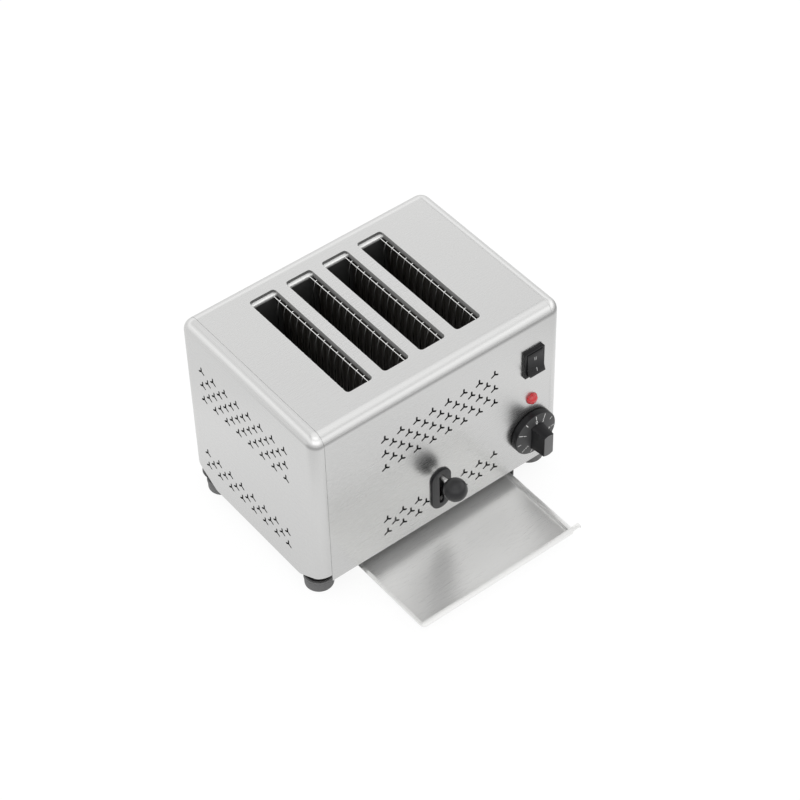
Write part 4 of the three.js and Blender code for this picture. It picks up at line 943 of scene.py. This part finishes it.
# The timer: a clockwork case behind the sheet, a steel shaft, and a black dial knob
# with a raised grip bar and white marks from 0 to 5 that run round it.
pale_plastic = moulded("pale_heatproof_moulding", (0.6, 0.56, 0.47), 0.5)
softened("timer_body", "timer_case", 0.5, pale_plastic, "chassis", "pale_plastic")
coated(bright_wire, "timer_shaft")
dial = bmesh.new()
dial_edge, cone_edge, rim_front, cone_front = 24.9, 12.0, -7.4, -9.6
profile = [(0, -0.6), (24.4, -0.6), (25.1, -0.7), (25.4, -1.0), (25.4, rim_front + 0.5)]
profile += [(25.25, rim_front + 0.15), (dial_edge, rim_front), (cone_edge, cone_front)]
turned(dial, profile + [(0, cone_front)], (column_x, 0, timer_z), sides=96)

grip_half, grip_end, grip_crown, grip_longer_below = 7.0, 12.3, 1.6, 2.4


def grip_ring(y, inset):
    """The grip bar's outline at a place along it: straight sides and slightly crowned ends."""
    half, end = grip_half - inset, grip_end - inset
    across = [math.sin(math.radians(a)) / math.sin(math.radians(60)) for a in range(-60, 61, 10)]
    upper = [(half * u, end + grip_crown * (1 - u**2)) for u in across]
    side = [(half, end - 0.6), (half, end - 1.2)]
    below = [(u, -v - grip_longer_below) for u, v in reversed(side)]
    lower = [(-u, -v - grip_longer_below) for u, v in upper]
    left = [(-u, v) for u, v in reversed(side + below)]
    outline = upper + side + below + lower + left
    return [real(column_x + u, y, timer_z + v) for u, v in outline]


grip_rings = [(-6.0, -0.5), (-9.8, -0.5), (-11.0, 0.0), (-26.2, 0.9)]
grip_rings += [(-26.9, 1.05), (-27.3, 1.45), (-27.4, 2.0)]
rows = [grip_ring(*ring) for ring in grip_rings]
for first, second in zip(rows, rows[1:]):
    strip(dial, first, second, closed=True)
dial.faces.new([dial.verts.new(point) for point in rows[-1]])
dial_piece = finish(dial, "timer_dial", (real(column_x, -27, timer_z), (0, -1, 0)), angle=35)
# The grip's front end is made paler than the rest of the dial.
paler_grip_tip = moulded("paler_grip_tip_moulding", (0.13, 0.13, 0.13), 0.5, shine=0.3)
dial_finishes = [black_plastic, face_painted_sheen, paler_grip_tip]
# The dial's forward faces get the same painted sheen.
faced(dial_piece, dial_finishes.index(face_painted_sheen))
faced(dial_piece, dial_finishes.index(paler_grip_tip), before=FRONT - 20 * MM)
fitted(dial_piece, dial_finishes, "timer_control", "black_plastic", "timer_knob")


def painted_marks(name, colour):
    material, tree, place = new_material(name)
    wear = noise(tree, place, 1500.0, 2.0)
    tint = blended(tree, wear, *shades(colour, 0.85, 1.1))
    surfaced(tree, {"Base Color": tint, "Roughness": 0.5})
    return material


white_print = painted_marks("white_print", (0.75, 0.75, 0.74))
ink, stroke_half = 0.06, 0.35


def printed_at(u, v):
    """How far forward the dial's cone lies at a place on it, with the print's thickness."""
    share = (dial_edge - math.hypot(u, v)) / (dial_edge - cone_edge)
    return (rim_front + (cone_front - rim_front) * share - ink) * MM


marks = bmesh.new()
mark_count, mark_turn = 11, 33
digit_size, digit_foot = 5.4, 14.6
for step in range(mark_count):
    angle = math.radians(mark_turn * step)
    spin = Matrix.Translation(real(column_x, 0, timer_z)) @ Matrix.Rotation(-angle, 4, "Y")
    long_mark = step % 2 == 0
    low, high = (19.2, 23.6) if long_mark else (19.8, 23.4)
    left, right = -stroke_half, stroke_half
    corners = [
        marks.verts.new(spin @ Vector((u * MM, printed_at(u, v), v * MM)))
        for u, v in ((left, low), (right, low), (right, high), (left, high))
    ]
    marks.faces.new(corners)
    if long_mark:
        words = bpy.data.curves.new("number", "FONT")
        words.body = str(step // 2)
        words.size = digit_size * MM
        words.align_x = "CENTER"
        words.resolution_u = 3
        number = baked(placed("number", words))
        for vertex in number.vertices:
            u, v = vertex.co.x, vertex.co.y + digit_foot * MM
            vertex.co = (u, printed_at(u / MM, v / MM), v)
        number.transform(spin)
        marks.from_mesh(number)
        bpy.data.meshes.remove(number)
marks_piece = finish(marks, "dial_marks")
fitted(marks_piece, white_print, "timer_control", "black_plastic")


# The lamp: a domed lens of clear red plastic in the front sheet, on a round barrel that a nut
# holds behind it. A fine pattern inside the lens spreads the light.
def clear_red():
    material, tree, place = new_material("clear_red_moulding")
    cells = add(tree, "ShaderNodeTexVoronoi", {"Vector": place, "Scale": 420.0})
    settings = {
        "Base Color": blended(
            tree, cells.outputs["Distance"], (0.62, 0.02, 0.03, 1), (0.35, 0.008, 0.012, 1)
        ),
        "Roughness": 0.12,
        "Coat Weight": 0.6,
        "Coat Roughness": 0.05,
    }
    surfaced(tree, settings)
    return material


dome = bmesh.new()
profile = [(6.2, 0.0), (6.5, -0.25), (6.5, -0.8), (6.35, -1.0)]
profile += [(5.9 * math.cos(a), -1.1 - 4.6 * math.sin(a)) for a in quarter(10)[:-1]] + [(0, -5.7)]
collar = [(0, 0.9), (4.7, 0.9), (4.7, 0.0), (6.2, 0.0)]
for skin in (profile, collar):
    turned(dome, skin, (column_x, 0, lamp_z), sides=48)
dome_piece = finish(dome, "lamp_dome", (real(column_x, -5, lamp_z), (0, -1, 0)), angle=40)
fitted(dome_piece, clear_red(), "chassis", "red_lens", "lamp_lens")
softened("lamp_body", "lamp_barrel", 0.3, black_plastic, "chassis", "black_plastic")


# The switch: a black snapped-in frame with a rocker that is pressed in at its upper end,
# and a pale stroke at the lower end with two at the upper.
softened("switch_housing", "switch_frame", 0.35, black_plastic, "chassis", "black_plastic")
rocker_piece = softened(
    "switch_rocker", "switch_rocker_cap", 0.3, ball_plastic, "rocker_control", "black_plastic"
)
rocker_mesh = rocker_piece.data
rocker_skin = BVHTree.FromPolygons(
    [vertex.co for vertex in rocker_mesh.vertices],
    [face.vertices[:] for face in rocker_mesh.polygons],
)


def on_rocker(u, v):
    """The place just in front of the rocker's skin, across and up from its middle."""
    x, _, z = real(column_x + u, 0, switch_z + v)
    met = rocker_skin.ray_cast(Vector((x, FRONT - 0.1, z)), Vector((0, 1, 0)))[0]
    return (x, met.y - ink * MM, z)


strokes = bmesh.new()
stroke_reach = 1.9
for u, v in ((-0.9, 6.0), (0.9, 6.0), (0.0, -6.4)):
    heights = [v + stroke_reach * share for share in (-1, -0.5, 0, 0.5, 1)]
    edges = [[on_rocker(u + way * stroke_half, height) for height in heights] for way in (-1, 1)]
    strip(strokes, *edges)
strokes_piece = finish(strokes, "rocker_strokes")
grey_print = painted_marks("grey_print", (0.4, 0.4, 0.4))
fitted(strokes_piece, grey_print, "rocker_control", "black_plastic")


# The feet: turned grey rubber pads with a groove below a collar, each held by a screw that
# goes up into the base pan.
foot_rubber = moulded("grey_foot_rubber", (0.12, 0.12, 0.12), 0.6, 1800.0, 0.15)
pad_profile = [(0, 1.6), (4.6, 1.6), (5.0, 1.4), (5.2, 0.0), (13.4, 0.0), (14.1, 0.2)]
pad_profile += [(14.6, 0.8), (14.7, 1.4), (14.7, 9.2), (14.9, 9.5), (15.3, 9.7), (15.3, 11.4)]
pad_profile += [(15.0, 11.6), (15.0, 12.0), (15.3, 12.2), (15.3, 14.1), (15.1, 14.4), (0, 14.4)]
pad_x, pad_front, pad_back = 133.3, 26, 188
for name, x, y in (
    ("front_left", -pad_x, pad_front),
    ("front_right", pad_x, pad_front),
    ("rear_left", -pad_x, pad_back),
    ("rear_right", pad_x, pad_back),
):
    pad = bmesh.new()
    turned(pad, pad_profile, (x, y, 0), axis="z")
    piece = finish(pad, name + "_pad", (real(x, y, 0), (0, 0, -1)))
    fitted(piece, foot_rubber, "chassis", "foot_rubber", name + "_foot")


# The back: a flanged black bush that a lead would pass through, snapped into the sheet,
# and a pale terminal block on the base pan behind it.
bush = bmesh.new()
back = case_depth - sheet
profile = [(3.7, -6), (5.5, -6), (5.5, 1.1), (7.2, 1.1), (7.5, 1.4), (7.5, 2.5), (7.2, 2.8)]
profile += [(5.8, 3.2), (5.2, 5.6), (4.6, 6.6), (4.1, 6.8), (3.7, 6.6), (3.7, -6)]
turned(bush, profile, (lead_x, back, lead_z))
bush_side = real(lead_x + 7.5, back + 2, lead_z)
bush_piece = finish(bush, "lead_bush", (bush_side, (1, 0, 0)), angle=40)
fitted(bush_piece, black_plastic, "chassis", "black_plastic", "cord_gland")
softened("terminal_block", "terminal_strip", 0.4, pale_plastic, "chassis", "pale_plastic")


# The screws: small plated pan heads with a cross recess. Three along each seam at the back
# hold the wrap to the side pans.
def screw_tree():
    """Places the head that comes in at rows along both seams."""
    sockets = [
        ("Rows", COUNT, 3),
        ("Pitch", NUMBER, 0.07),
        ("Low", NUMBER, 0.048),
        ("Across", NUMBER, 0.1327),
        ("Back", NUMBER, case_depth * MM + FRONT),
    ]
    tree = tree_of("seam_screws", sockets)
    given = tree.nodes.new("NodeGroupInput").outputs
    rows = tree.nodes.new("GeometryNodeJoinGeometry")
    for side in (-1.0, 1.0):
        across = calculated(tree, "MULTIPLY", given["Across"], side)
        lowest = {"X": across, "Y": given["Back"], "Z": given["Low"]}
        start = add(tree, "ShaderNodeCombineXYZ", lowest).outputs[0]
        step = add(tree, "ShaderNodeCombineXYZ", {"Z": given["Pitch"]}).outputs[0]
        spread = {"Count": given["Rows"], "Start Location": start, "Offset": step}
        line = add(tree, "GeometryNodeMeshLine", spread).outputs[0]
        tree.links.new(line, rows.inputs[0])
    wires = {"Points": rows.outputs[0], "Instance": given["Geometry"]}
    heads = add(tree, "GeometryNodeInstanceOnPoints", wires).outputs[0]
    made_real(tree, heads, bright_wire)
    return tree


head = bmesh.new()
head_sides = 24
levels = [(2.4, 0.0), (2.4, 0.5), (2.2, 0.9), (1.7, 1.25), (1.2, 1.4)]
rows = [[(u * MM, y * MM, v * MM) for u, v in circle(0, 0, r, head_sides)] for r, y in levels]
arm_reach, arm_between, arm_width = 1.15, 0.45, 0.27
cross_top, cross_foot, cross_taper = 1.42, 0.7, 0.8
cross = []
for u, v in circle(0, 0, 1, head_sides):
    reach = arm_reach if min(abs(u), abs(v)) < arm_width else arm_between
    cross.append((reach * MM * u, cross_top * MM, reach * MM * v))
rows += [cross, [(x * cross_taper, cross_foot * MM, z * cross_taper) for x, _, z in cross]]
for first, second in zip(rows, rows[1:]):
    strip(head, first, second, closed=True)
head.faces.new([head.verts.new(point) for point in rows[-1]])
bmesh.ops.remove_doubles(head, verts=head.verts, dist=1e-6)
bmesh.ops.recalc_face_normals(head, faces=head.faces)
head_mesh = bpy.data.meshes.new("screw_head")
head.to_mesh(head_mesh)
head.free()
screws = evaluated("screws", head_mesh, screw_tree(), {})
screws.shade_smooth()
screws.set_sharp_from_angle(angle=math.radians(35))
fitted(placed("seam_screws", screws), bright_wire, "chassis", "bright_wire")


# The crumb tray: a shallow folded stainless tray with a flange all round and a small ear
# at its right front corner, with the casing's fine grain and a duller skin.
tray_steel = satin("tray_satin_steel", (0.79, 0.79, 0.78), 0.28, (60, 9000, 9000), 0.01, 0.6)
softened("crumb_tray", "crumb_tray_sheet", 0.3, tray_steel, "tray", "stainless")
